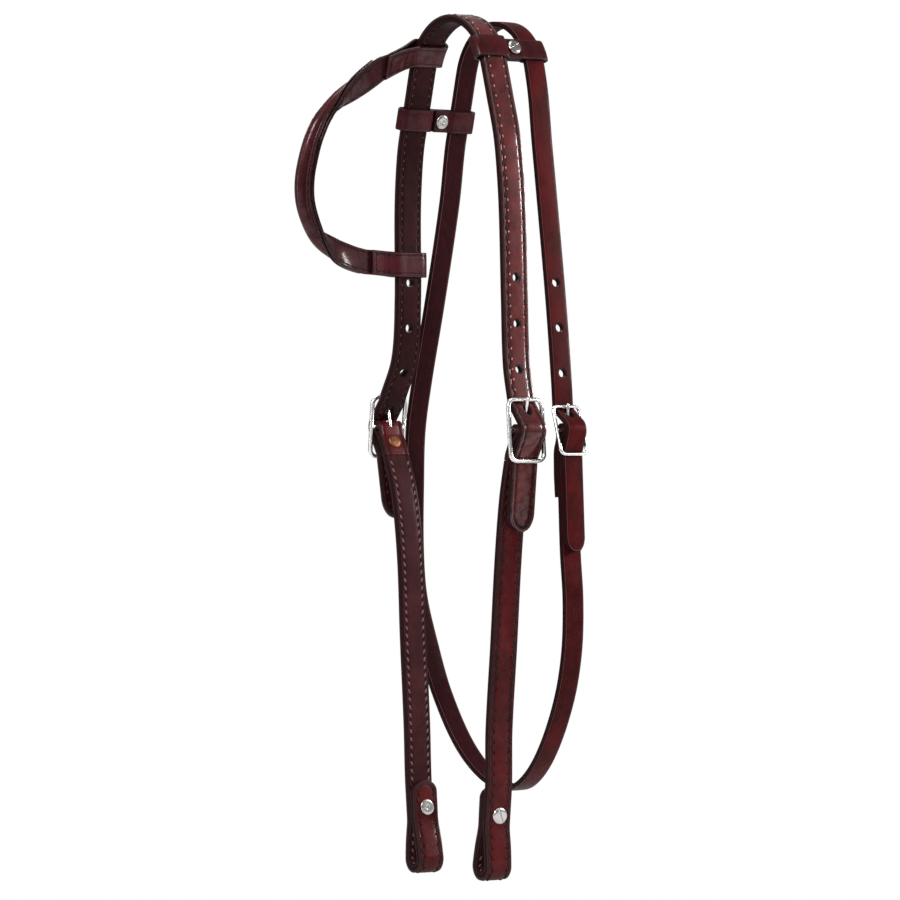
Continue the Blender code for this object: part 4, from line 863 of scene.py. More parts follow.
def makeCheek(side, buckle, shares):
    tag = buckle.name
    way = Way(cheekPoints(side, buckle, shares))
    lean = buckle.foldLean(doubled)[0]
    back = cheekLook["turnback"] - hang["foldRoot"]
    width = crownStrap["width"]

    def legPoint(run, lift):
        return way.at(run) + way.heading(run).cross(yAxis) * side * lift

    legRuns = [back * k / 12 for k in range(12)]
    body = [run for run in np.arange(back, way.length, 0.004)] + [way.length]
    inner = [legPoint(run, -layerLift) for run in [back] + flipped(legRuns)]
    outer = [legPoint(run, layerLift) for run in legRuns + body]
    outerWay = Way(inner + buckle.foldPoints(lean) + outer)
    outerRibbon = strapRibbon(outerWay, width, lambda run: yAxis * side)
    ribbon = strapRibbon(way, width, lambda run: yAxis * side)
    rivet = way.at(cheekLook["rivetDrop"] - hang["foldRoot"])
    screw = bitPlace(side, 0.0, 0.0)[0]
    fold = outerWay.nearest(buckle.centre + buckle.up * buckle.foldRound)
    early = outerWay.fine[outerWay.runs < fold]
    late = outerWay.fine[outerWay.runs >= fold]

    def runNear(points, offset, place):
        return float(outerWay.runs[offset + int(np.argmin(np.linalg.norm(points - np.array(tuple(place)), axis=1)))])

    middle = len(early) + len(late) // 2
    upper = outerWay.fine[middle:-150]
    screwOut = float(outerWay.runs[middle + int(np.argmin(np.linalg.norm(upper - np.array(tuple(screw)), axis=1)))])
    screwIn = outerWay.length - bitEnd["rise"]
    holes = [(runNear(early, 0, rivet), 0.0, 0.0017, 0.0), (runNear(late, len(early), rivet), 0.0, 0.0017, 0.0),
             (screwOut, 0.0, 0.0027, 0.0), (screwIn, 0.0, 0.0027, 0.0)]
    slotHalf = buckle.reach + 0.00015
    slots = [(fold, 0.0, 2 * slotHalf, 2 * (buckle.tongue + 0.0007))]
    outerSize = {"start": 0.0, "stop": outerWay.length, "width": width, "layer": crownStrap["layer"], "butted": True,
                 "stopTip": bitEnd["tip"], "row": cheekLook["row"], "rowDip": 0.00026, "step": 0.0010,
                 "crowned": 0.00026, "across": stitchedAcross, "bare": 1}
    strip = leatherStrip(tag + "CheekOuter", outerRibbon, outerSize, holes, slots)
    dressed(strip, cheekLeather, "leather_face", tag + "_cheek", tag + "_cheek_outer")
    screwRuns = (way.nearest(screw + bitPlace(side, 1.0, 0.0)[1] * layerLift), way.length - bitEnd["rise"])
    liningSize = {"start": back + 0.0003, "stop": way.length, "width": width, "layer": crownStrap["layer"],
                  "stopTip": bitEnd["tip"], "row": cheekLook["row"], "rowDip": 0.00026, "lift": -layerLift,
                  "step": 0.0010, "butted": True, "crowned": 0.00026, "across": stitchedAcross, "bare": -1}
    lining = leatherStrip(tag + "CheekLining", ribbon, liningSize, [(run, 0.0, 0.0027, 0.0) for run in screwRuns])
    turnFace(lining)
    dressed(lining, cheekInside, "leather_lining", tag + "_cheek", tag + "_cheek_lining")
    half = width / 2 - cheekLook["row"]
    stitch = crownLook["stitch"]
    bitTop = way.length - bitEnd["rise"] - 2 * bitEnd["closed"] - 0.008
    surface = layerLift + crownStrap["layer"] / 2 + 0.00006
    startRun = 0.022 - hang["foldRoot"]
    faceRows = [stitchRow(ribbon, stitch, startRun, way.length - 0.008, half * k, surface, flip=k) for k in (-1, 1)]
    faceRows += tipStitches(ribbon, stitch, way.length, -1, bitEnd["tip"], width / 2, cheekLook["row"], surface)
    dressed(joined(tag + "CheekStitches", faceRows), darkThread, "leather_face", tag + "_cheek")
    bulges = [stitchRow(ribbon, crownLook["bulge"], startRun, way.length - 0.008, (half - 0.0012) * k,
                        surface + 0.00018, shift=1.0) for k in (-1, 1)]
    dressed(joined(tag + "CheekBulges", bulges), plainLeather, "leather_face", tag + "_cheek")
    backRows = [stitchRow(ribbon, crownLook["backStitch"], startRun, bitTop, half * k, -surface, flip=-k)
                for k in (-1, 1)]
    dressed(joined(tag + "CheekBackStitches", backRows), paleThread, "leather_lining", tag + "_cheek")
    print(tag, "cheek made")
    return way


nearCheekWay = makeCheek(1, nearBuckle, nearCheek)
offCheekWay = makeCheek(-1, offBuckle, offCheek)


# Throat strap

throatNear = ((0.481, 0.1980, 1.000), (0.529, 0.2996, 0.985), (0.582, 0.3966, 0.970), (0.764, 0.6852, 0.870),
              (0.870, 0.8765, 0.800))
throatOff = ((0.632, 0.4439, 0.960), (0.774, 0.6844, 0.870), (0.905, 0.8765, 0.800), (0.985, 0.9978, 0.790))
throatNearLow = ((0.930, 0.1376, 0.800), (0.965, 0.3316, 0.830), (0.980, 0.4674, 0.865))
throatOffLow = ((1.010, 0.1376, 0.800), (1.030, 0.3316, 0.830), (1.005, 0.4674, 0.865))
throatBottom = ((0.911, 0.6097, 0.965), (0.773, 0.7456, 1.045), (0.526, 0.8879, 1.130), (0.260, 0.9720, 1.220),
                (0.000, 1.0000, 1.290))


def throatPoint(side, shares, start, stop):
    reach, drop, back = shares
    return Vector((side * throatStrap["reach"] * reach, throatStrap["spacing"] * back,
                   height(start + (stop - start) * drop)))


def makeThroat(buckle):
    layer, width = throatStrap["layer"], throatStrap["width"]
    top, bottom = hang["buckleDrop"], throatStrap["bottomDrop"]
    lean, radius = buckle.foldLean(2 * layer + 0.0003)
    lift = (layer + 0.0003) / 2
    root = buckle.centre + (buckle.up * -math.cos(lean) - buckle.out * math.sin(lean)) * hang["foldRoot"]
    tangent = math.pi - lean
    low = [root] + buckle.arc(radius, -buckle.pitch, tangent, tangent + lean * 0.45, 3)
    nearLow = [throatPoint(1, shares, top, bottom) for shares in throatNearLow + throatBottom]
    offLow = [throatPoint(-1, shares, top, bottom) for shares in throatOffLow + throatBottom[:-1]]
    offHigh = [throatPoint(-1, shares, 0.0, top) for shares in throatOff]
    nearHigh = [throatPoint(1, shares, 0.0, top) for shares in throatNear]
    archRadius = hang["arch"] - throatStrap["archInset"]
    offArch = archPoints(-1, archRadius, throatStrap["spacing"]) + belowArch(-1, archRadius, throatStrap["spacing"])
    nearArch = archPoints(1, archRadius, throatStrap["spacing"])
    double = Way(low + nearLow[:3])
    back = throatStrap["turnback"] - hang["foldRoot"]

    def legPoint(run, offset):
        heading = double.heading(run)
        return double.at(run) + heading.cross(squareTo(heading)) * offset

    legRuns = [back * k / 12 for k in range(13)]
    points = [legPoint(run, -lift) for run in flipped(legRuns)] + buckle.foldPoints(lean)
    points += [legPoint(run, lift) for run in legRuns] + nearLow[1:] + flipped(offLow) + flipped(offHigh)
    points += flipped(offArch) + nearArch[1:] + nearHigh
    points += buckle.weave() + buckle.tail(math.radians(15.0), throatStrap["tail"])
    way = Way(points)
    ribbon = strapRibbon(way, width, lambda run: yAxis)
    held = heldRun(buckle, way)
    holes = [(held - 0.0260 * k, 0.0, 0.0025, 0.0014 if k == 0 else 0.0) for k in range(4)]
    fold = way.nearest(buckle.centre + buckle.up * buckle.foldRound)
    rivet = double.at(0.0088 - hang["foldRoot"])
    normal = double.heading(0.0022).cross(squareTo(double.heading(0.0022)))
    for sign in (-1, 1):
        spot = rivet + normal * lift * sign
        gaps = np.linalg.norm(way.fine - np.array(tuple(spot)), axis=1)
        gaps[way.runs > 0.12] = 1.0
        holes.append((float(way.runs[int(np.argmin(gaps))]), 0.0, 0.0017, 0.0))
    slots = [(fold, 0.0, 2 * (buckle.reach + 0.00015), 2 * (buckle.tongue + 0.0007))]
    size = {"start": 0.0, "stop": way.length, "width": width, "layer": layer, "stopTip": throatStrap["tip"],
            "edge": 0.0008, "crowned": 0.00018}
    strip = leatherStrip("throatStrap", ribbon, size, holes, slots)
    dressed(strip, plainLeather, "leather_face", "crown", "throat_strap")
    print("throat strap made")
    return double, way, ribbon


throatDouble, throatWay, throatRibbon = makeThroat(throatBuckle)


# Buckle frames and tongues

def tube(name, centres, radii, sides=18):
    # a flat grid rolled round a wire, its ends closed
    count = len(centres)
    pipe = added(name, bpy.ops.mesh.primitive_grid_add, x_subdivisions=count - 1, y_subdivisions=sides, size=1.0)
    points = pointsOf(pipe)
    i = np.rint((points[:, 0] + 0.5) * (count - 1)).astype(int)
    turn = (points[:, 1] + 0.5) * 2 * math.pi
    spots = np.array([tuple(c) for c in centres])
    ahead = np.gradient(spots, axis=0)
    ahead /= np.linalg.norm(ahead, axis=1, keepdims=True)
    side = np.tile(np.array([0.0, 1.0, 0.0]), (count, 1))
    side -= (side * ahead).sum(axis=1, keepdims=True) * ahead
    side /= np.linalg.norm(side, axis=1, keepdims=True)
    other = np.cross(ahead, side)
    reach = np.array(radii)[i][:, None]
    movePoints(pipe, spots[i] + reach * (side[i] * np.cos(turn)[:, None] + other[i] * np.sin(turn)[:, None]))
    pick(pipe)
    bpy.ops.object.mode_set(mode="EDIT")
    bpy.ops.mesh.select_all(action="SELECT")
    bpy.ops.mesh.remove_doubles(threshold=0.00001)
    bpy.ops.mesh.select_all(action="DESELECT")
    bpy.ops.mesh.select_mode(type="EDGE")
    bpy.ops.mesh.select_non_manifold()
    bpy.ops.mesh.fill_holes(sides=0)
    bpy.ops.mesh.select_all(action="SELECT")
    bpy.ops.mesh.normals_make_consistent(inside=False)
    bpy.ops.object.mode_set(mode="OBJECT")
    smoothed(pipe, 55.0)
    return pipe


def makeBuckle(buckle, body):
    # a ring pulled apart into a rounded frame, with a centre bar across it
    half = buckle.strap / 2 + buckle.room + buckle.wire
    ring = added(buckle.name + "BuckleFrame", bpy.ops.mesh.primitive_torus_add, major_segments=96, minor_segments=24,
                 major_radius=buckle.corner, minor_radius=buckle.wire)
    points = pointsOf(ring)
    points[:, 0] += np.sign(np.where(np.abs(points[:, 0]) < 1e-7, 0, points[:, 0])) * (half - buckle.corner)
    points[:, 1] += np.sign(np.where(np.abs(points[:, 1]) < 1e-7, 0, points[:, 1])) * (buckle.pitch - buckle.corner)
    movePoints(ring, points)
    bar = added("bar", bpy.ops.mesh.primitive_cylinder_add, vertices=32, radius=buckle.wire * 0.98,
                depth=2 * half, rotation=(0.0, math.pi / 2, 0.0))
    settle(bar)
    pick(bar)
    bpy.ops.object.mode_set(mode="EDIT")
    bpy.ops.mesh.select_all(action="SELECT")
    bpy.ops.mesh.subdivide(number_cuts=2)
    bpy.ops.object.mode_set(mode="OBJECT")
    points = pointsOf(bar)
    # the bar swells where it runs into the side rails
    swell = 1 + 0.22 * np.exp(-((half - np.abs(points[:, 0])) / (buckle.wire * 1.2)) ** 2)
    points[:, 1:] *= swell[:, None]
    movePoints(bar, points)
    cutAway(ring, bar, "UNION")
    dropped(bar)
    smoothed(ring, 40.0)
    turn = Matrix((yAxis, buckle.up, buckle.out)).transposed()
    points = pointsOf(ring)
    axes = np.array([tuple(row) for row in turn])
    movePoints(ring, points @ axes.T + np.array(tuple(buckle.centre)))
    pick(ring)
    bpy.ops.object.mode_set(mode="EDIT")
    bpy.ops.mesh.select_all(action="SELECT")
    bpy.ops.mesh.normals_make_consistent(inside=False)
    bpy.ops.object.mode_set(mode="OBJECT")
    dressed(ring, nickel, "nickel", "crown", buckle.name + "_buckle_frame")

    restOut = buckle.wire + 0.0003 + buckle.tongue
    reach = math.hypot(restOut, buckle.pitch)
    leave = math.atan2(buckle.pitch, restOut) + math.acos(buckle.ring / reach)
    loop = [leave + math.radians(268.0) * (1 - k / 40) for k in range(41)]
    centres = [buckle.place(buckle.ring * math.cos(a), buckle.ring * math.sin(a)) for a in loop]
    radii = [buckle.tongue] * 41
    start, stop = centres[-1], buckle.place(restOut, buckle.pitch)
    ahead = (stop - start).normalized()
    shaft = (stop - start).length + 0.0012
    for share in (0.08, 0.2, 0.35, 0.5, 0.65, 0.78, 0.86):
        centres.append(start + ahead * shaft * share)
        radii.append(buckle.tongue * (1.0 - 0.10 * share))
    # the tip is drawn round
    tipStart = shaft - buckle.tongue * 0.95
    for angle in (0, 20, 38, 54, 68, 80, 87):
        a = math.radians(angle)
        centres.append(start + ahead * (tipStart + buckle.tongue * 0.95 * math.sin(a)))
        radii.append(buckle.tongue * 0.90 * math.cos(a))
    tongue = tube(buckle.name + "BuckleTongue", centres, radii, 20)
    dressed(tongue, nickel, "nickel", buckle.name + "_tongue", buckle.name + "_buckle_tongue")
    print(buckle.name, "buckle made")


for eachBuckle in (nearBuckle, offBuckle, throatBuckle):
    makeBuckle(eachBuckle, "crown")


# Turned pieces

def turnedPiece(name, profile, place, axis, along, segments=56):
    # a ring drawn up and in or out, ring after ring, then closed at both ends
    first = next(k for k, (radius, rise) in enumerate(profile) if radius > 0)
    radius, rise = profile[first]
    piece = added(name, bpy.ops.mesh.primitive_circle_add, vertices=segments, radius=radius,
                  location=(0.0, 0.0, rise))
    settle(piece)
    bpy.ops.object.mode_set(mode="EDIT")
    bpy.ops.mesh.select_mode(type="EDGE")
    bpy.ops.mesh.select_all(action="SELECT")
    for newRadius, newRise in profile[first + 1:]:
        if newRadius <= 0:
            bpy.ops.mesh.extrude_edges_move(TRANSFORM_OT_translate={"value": (0.0, 0.0, newRise - rise)})
            bpy.ops.mesh.merge(type="CENTER")
            rise = newRise
            break
        bpy.ops.mesh.extrude_edges_move(TRANSFORM_OT_translate={"value": (0.0, 0.0, newRise - rise)})
        share = newRadius / radius
        bpy.ops.transform.resize(value=(share, share, 1.0), center_override=(0.0, 0.0, newRise))
        radius, rise = newRadius, newRise
    if profile[-1][0] > 0 and profile[0][0] > 0:
        bpy.ops.mesh.select_all(action="DESELECT")
        bpy.ops.mesh.select_non_manifold()
        bpy.ops.mesh.bridge_edge_loops()
    else:
        bpy.ops.mesh.select_all(action="DESELECT")
        bpy.ops.mesh.select_non_manifold()
        bpy.ops.mesh.extrude_edges_move(TRANSFORM_OT_translate={"value": (0.0, 0.0, 0.0)})
        bpy.ops.mesh.merge(type="CENTER")
    bpy.ops.mesh.select_all(action="SELECT")
    bpy.ops.mesh.normals_make_consistent(inside=False)
    bpy.ops.object.mode_set(mode="OBJECT")
    smoothed(piece, 32.0)
    return piece


def placed(piece, place, axis, along):
    along = squareTo(axis, along)
    turn = Matrix((along, axis.cross(along), axis)).transposed()
    axes = np.array([tuple(row) for row in turn])
    movePoints(piece, pointsOf(piece) @ axes.T + np.array(tuple(place)))
    pick(piece)
    return piece


def domed(radius, low, high, rounds=6, lip=0.0):
    # a low domed head, from its outer edge up to its middle
    out = []
    for k in range(rounds + 1):
        a = math.pi / 2 * k / rounds
        out.append((radius * math.cos(a) if k < rounds else 0.0, low + lip + (high - low - lip) * math.sin(a)))
    return out


rivetLook = {"head": 0.0040, "rise": 0.0011, "shank": 0.0014, "peen": 0.0002, "burr": 0.0030, "burrRise": 0.0008,
             "throatHead": 0.0033, "throatBurr": 0.0024}


def makeRivet(buckle, way, run, stack, head, burr, body):
    heading = way.heading(run)
    normal = heading.cross(squareTo(heading, -yAxis * buckle.side))
    if normal.dot(buckle.out) < 0:
        normal = -normal
    place = way.at(run)
    half, gap = stack / 2, 0.0003
    top = half + gap + rivetLook["burrRise"] + rivetLook["peen"]
    low = half + gap
    rise, shank = rivetLook["rise"], rivetLook["shank"]
    # head inside, shank through, end peened over the burr
    profile = [(0.0, top)]
    profile += [(shank * 0.45, top - 0.00003), (shank * 0.8, top - 0.00012), (shank, top - 0.00032)]
    profile += [(shank, -low), (head * 0.985, -low), (head, -low - rise * 0.12), (head * 0.985, -low - rise * 0.3),
                (head * 0.93, -low - rise * 0.47), (head * 0.82, -low - rise * 0.66), (head * 0.64, -low - rise * 0.83),
                (head * 0.42, -low - rise * 0.94), (head * 0.2, -low - rise * 0.99), (0.0, -low - rise)]
    tag = buckle.name
    rivet = placed(turnedPiece(tag + "Rivet", profile, None, None, None), place, normal, yAxis)
    dressed(rivet, copper, "copper", body, tag + "_rivet")
    inner = shank + gap * 0.4
    burrRise = rivetLook["burrRise"]
    ring = [(inner, low), (inner, low + burrRise * 0.8), (inner + 0.0002, low + burrRise), (burr - 0.00035, low + burrRise),
            (burr - 0.0001, low + burrRise * 0.86), (burr, low + burrRise * 0.6), (burr, low + 0.0001), (burr - 0.0001, low)]
    washer = placed(turnedPiece(tag + "RivetBurr", ring, None, None, None), place, normal, yAxis)
    dressed(washer, copper, "copper", body, tag + "_rivet_burr")


makeRivet(nearBuckle, nearCheekWay, 0.0108 - hang["foldRoot"], doubled, rivetLook["head"], rivetLook["burr"], "near_cheek")
makeRivet(offBuckle, offCheekWay, 0.0108 - hang["foldRoot"], doubled, rivetLook["head"], rivetLook["burr"], "off_cheek")
makeRivet(throatBuckle, throatDouble, 0.0088 - hang["foldRoot"], 2 * throatStrap["layer"] + 0.0003,
          rivetLook["throatHead"], rivetLook["throatBurr"], "crown")
print("rivets made")

screwLook = {"head": 0.0048, "rise": 0.0017, "shank": 0.0014, "slotWide": 0.0012, "slotDeep": 0.0008,
             "flange": 0.0045, "flangeRise": 0.0014, "tube": 0.0024, "bore": 0.0017, "dimple": 0.0011,
             "edge": 0.0006, "keeperHead": 0.0043, "keeperFlange": 0.0041}


def makeScrew(tag, place, axis, along, stack, seat, head, flange, screwBody, postBody, slotTurn):
    half, gap, edge = stack / 2, 0.0003, screwLook["edge"]
    top = half + gap + screwLook["rise"]
    low = half + gap
    profile = [(0.0, top), (head * 0.3, top - edge * 0.06), (head * 0.55, top - edge * 0.2), (head * 0.75, top - edge * 0.45),
               (head * 0.88, top - edge * 0.85), (head * 0.955, top - edge * 1.3), (head * 0.99, top - edge * 1.75),
               (head, top - edge * 2.2), (head, low + 0.00015), (head - 0.0001, low),
               (screwLook["shank"], low), (screwLook["shank"], -half + gap), (0.0, -half + gap)]
    screw = turnedPiece(tag + "Screw", profile, None, None, None, 72)
    blade = added("blade", bpy.ops.mesh.primitive_cube_add, size=1.0,
                  location=(0.0, 0.0, top - screwLook["slotDeep"] + 0.001))
    blade.scale = (head * 3, screwLook["slotWide"], 0.002)
    blade.rotation_euler = (0.0, 0.0, slotTurn)
    settle(blade)
    modify(blade, "BEVEL", width=0.00012, segments=2)
    cutAway(screw, blade)
    dropped(blade)
    smoothed(screw, 32.0)
    # the screws take the darker nickel copies, which are painted shade
    plate = shadedScrewNickel if "keeper" in tag else shadedBitNickel
    dressed(placed(screw, place, axis, along), plate, "nickel", screwBody, tag + "_screw")
    flangeTop = -half - seat
    flangeLow = flangeTop - screwLook["flangeRise"]
    dimple = screwLook["dimple"]
    profile = [(0.0, -half), (screwLook["bore"], -half), (screwLook["bore"], half - 0.0002), (screwLook["bore"] + 0.0002, half),
               (screwLook["tube"] - 0.0001, half), (screwLook["tube"], half - 0.0001), (screwLook["tube"], flangeTop),
               (flange - 0.0001, flangeTop), (flange, flangeTop - 0.0001), (flange, flangeLow + edge),
               (flange * 0.985, flangeLow + edge * 0.68), (flange * 0.94, flangeLow + edge * 0.36),
               (flange * 0.85, flangeLow + edge * 0.12), (flange * 0.7, flangeLow + edge * 0.02),
               (dimple + 0.0004, flangeLow), (dimple + 0.00012, flangeLow + 0.00006), (dimple, flangeLow + 0.0002),
               (dimple * 0.9, flangeLow + edge * 0.9), (0.0, flangeLow + edge)]
    post = turnedPiece(tag + "Post", profile, None, None, None, 72)
    dressed(placed(post, place, axis, along), plate, "nickel", postBody, tag + "_post")


for side, tag, slotTurn in ((1, "near", 0.35), (-1, "off", -0.6)):
    screwPlace, outAxis, downAxis = bitPlace(side, 0.0, 0.0)
    makeScrew(tag + "_bit", screwPlace, outAxis, downAxis, 2 * doubled + 0.0003, 0.0003, screwLook["head"],
              screwLook["flange"], tag + "_bit_screw_turned", tag + "_cheek", slotTurn)
print("bit screws made")


# Keepers

keeperSize = {"width": 0.0127, "layer": 0.0016, "room": 0.0004, "stackInset": 0.0012}


def roundEdge(out, back, radius, start, stop, count=7):
    angles = [start + (stop - start) * k / (count - 1) for k in range(count)]
    return [(out + radius * math.cos(a), back + radius * math.sin(a)) for a in angles]


def ramp(start, stop):
    way = []
    for t in (0.15, 0.5, 0.85):
        ease = t * t * (3 - 2 * t)
        way.append((start[0] + (stop[0] - start[0]) * ease, start[1] + (stop[1] - start[1]) * t))
    return way


def keeperSection():
    layer = keeperSize["layer"]
    lap = layer + 0.0003
    crownOff = doubled / 2 + keeperSize["room"] + layer / 2
    throatOff = throatStrap["layer"] / 2 + keeperSize["room"] + layer / 2
    crownEdge = crownStrap["width"] / 2
    throatIn = throatStrap["spacing"] - throatStrap["width"] / 2
    throatOut = throatStrap["spacing"] + throatStrap["width"] / 2
    screwBack = (crownEdge + throatIn) / 2
    low = screwBack - screwLook["keeperHead"] - 0.0003
    high = screwBack + screwLook["keeperHead"] + 0.0003
    leaveCrown = crownEdge + keeperSize["room"]
    leaveThroat = throatIn + layer / 2
    middle, stack = -throatStrap["archInset"], -keeperSize["stackInset"]
    way = [(stack, high - 0.0003), (stack, screwBack), (stack, low)]
    way += ramp((stack, low), (-crownOff, leaveCrown))
    way += roundEdge(0.0, -crownEdge, crownOff, math.pi, math.pi * 2)
    way += ramp((crownOff, leaveCrown), (stack + lap, low))
    way += [(stack + lap, low), (stack + lap, screwBack), (stack + lap, high)]
    way += ramp((stack + lap, high), (middle + throatOff, leaveThroat))
    way += roundEdge(middle, throatOut, throatOff, 0.0, math.pi)
    way += ramp((middle - throatOff, leaveThroat), (stack - lap, high))
    way += [(stack - lap, high), (stack - lap, screwBack), (stack - lap, low + 0.0003)]
    return way, screwBack, stack


def makeKeeper(tag, centreRun, slotTurn):
    section, screwBack, stackOut = keeperSection()
    strip = Way([Vector((out, back, 0.0)) for out, back in section])
    runs = list(np.linspace(0.0, strip.length, int(strip.length / 0.0006)))
    columns = 10
    rows = []
    for run in runs:
        spot = strip.at(run)
        row = []
        for k in range(columns + 1):
            place = centreRun + keeperSize["width"] * (k / columns - 0.5)
            normal = crownWay.heading(place).cross(yAxis)
            row.append(crownWay.at(place) + normal * spot.x + yAxis * spot.y)
        rows.append(row)
    ribbon = Ribbon(runs, rows, keeperSize["width"])
    layer = keeperSize["layer"]
    holes = []
    for out in (stackOut - layer - 0.0003, stackOut, stackOut + layer + 0.0003):
        gaps = np.linalg.norm(strip.fine[:, :2] - np.array((out, screwBack)), axis=1)
        holes.append((float(strip.runs[int(np.argmin(gaps))]), 0.0, 0.0027, 0.0))
    size = {"start": 0.0, "stop": strip.length, "width": keeperSize["width"], "layer": layer, "edge": 0.00045,
            "step": 0.0007, "columns": 10, "crowned": 0.00006}
    band = leatherStrip(tag + "Keeper", ribbon, size, holes)
    if outsideIsBack(ribbon, strip, section):
        turnFace(band)
    dressed(band, keeperLeather, "leather_face", tag + "_keeper_band", tag + "_keeper")
    normal = crownWay.heading(centreRun).cross(yAxis)
    place = crownWay.at(centreRun) + normal * stackOut + yAxis * screwBack
    radius = hang["arch"] - throatStrap["archInset"]
    seat = 0.0003 + screwLook["keeperFlange"] ** 2 / (2 * radius)
    makeScrew(tag + "_keeper", place, normal, yAxis, 3 * layer + 0.0006, seat, screwLook["keeperHead"],
              screwLook["keeperFlange"], tag + "_keeper_screw_turned", tag + "_keeper_band", slotTurn)
    print(tag, "keeper made")


def outsideIsBack(ribbon, strip, section):
    # does the ribbon's normal point in towards the straps where it goes round the crown's edge
    run = strip.nearest(Vector((section[8][0], section[8][1], 0.0)))
    inside = ribbon.lay(np.array([[run, 0.0, 0.0], [run, 0.0, 0.001]]))
    return inside[1][1] > inside[0][1]


def onArch(side, angle):
    return crownWay.nearest(Vector((side * hang["arch"] * math.sin(angle), 0.0,
                                    archCentreZ + hang["arch"] * math.cos(angle))))


def atDrop(side, drop):
    runs = [k * 0.0006 for k in range(int(crownWay.length / 0.0006))]
    runs = [run for run in runs if (run - onTop) * side > 0]
    return min(runs, key=lambda run: abs(crownWay.at(run).z - height(drop)))


onTop = onArch(1, 0.0)
makeKeeper("near", onArch(1, math.radians(61.0)), 0.5)
makeKeeper("off", atDrop(-1, 0.0573), 0.2)


# Ear piece

earSize = {"width": 0.0143, "backLayer": 0.0018, "coverLayer": 0.0012, "core": 0.0023, "reach": 0.0725,
           "lap": 0.0260, "foot": 0.0009, "gap": 0.0005, "join": 0.0300, "taper": 0.0120,
           "topLean": math.radians(29.0), "lowLean": math.radians(-4.0), "row": 0.0021}
earShares = ((0.01, 0.593, 0.824), (0.02, 0.720, 0.755), (0.035, 0.885, 0.626), (0.04, 0.975, 0.436),
             (0.035, 0.965, 0.294), (0.02, 0.850, 0.156), (0.01, 0.670, 0.064), (0.005, 0.535, 0.029))
earTwist = (0.04, 0.38, 0.50, 0.62, 0.97)
earStitch = {"long": 0.0037, "thick": 0.00100, "tall": 0.00070, "slant": 9.0, "pitch": 0.0053}


def eased(t):
    return t * t * (3 - 2 * t)


def earWrap():
    off = doubled / 2 + 0.0003 + earSize["backLayer"] / 2
    edge = crownStrap["width"] / 2
    leg = (earSize["backLayer"] + 0.0003) / 2
    lap = earSize["lap"]
    front = -edge - earSize["backLayer"] * 0.6
    main = [(leg, -lap), (leg * 1.4, -lap * 0.62), (off, front), (off, -edge * 0.4), (off, edge * 0.6)]
    turn = roundEdge(0.0, edge, off, 0.0, math.pi)
    return main + turn + [(-out, back) for out, back in flipped(main)]


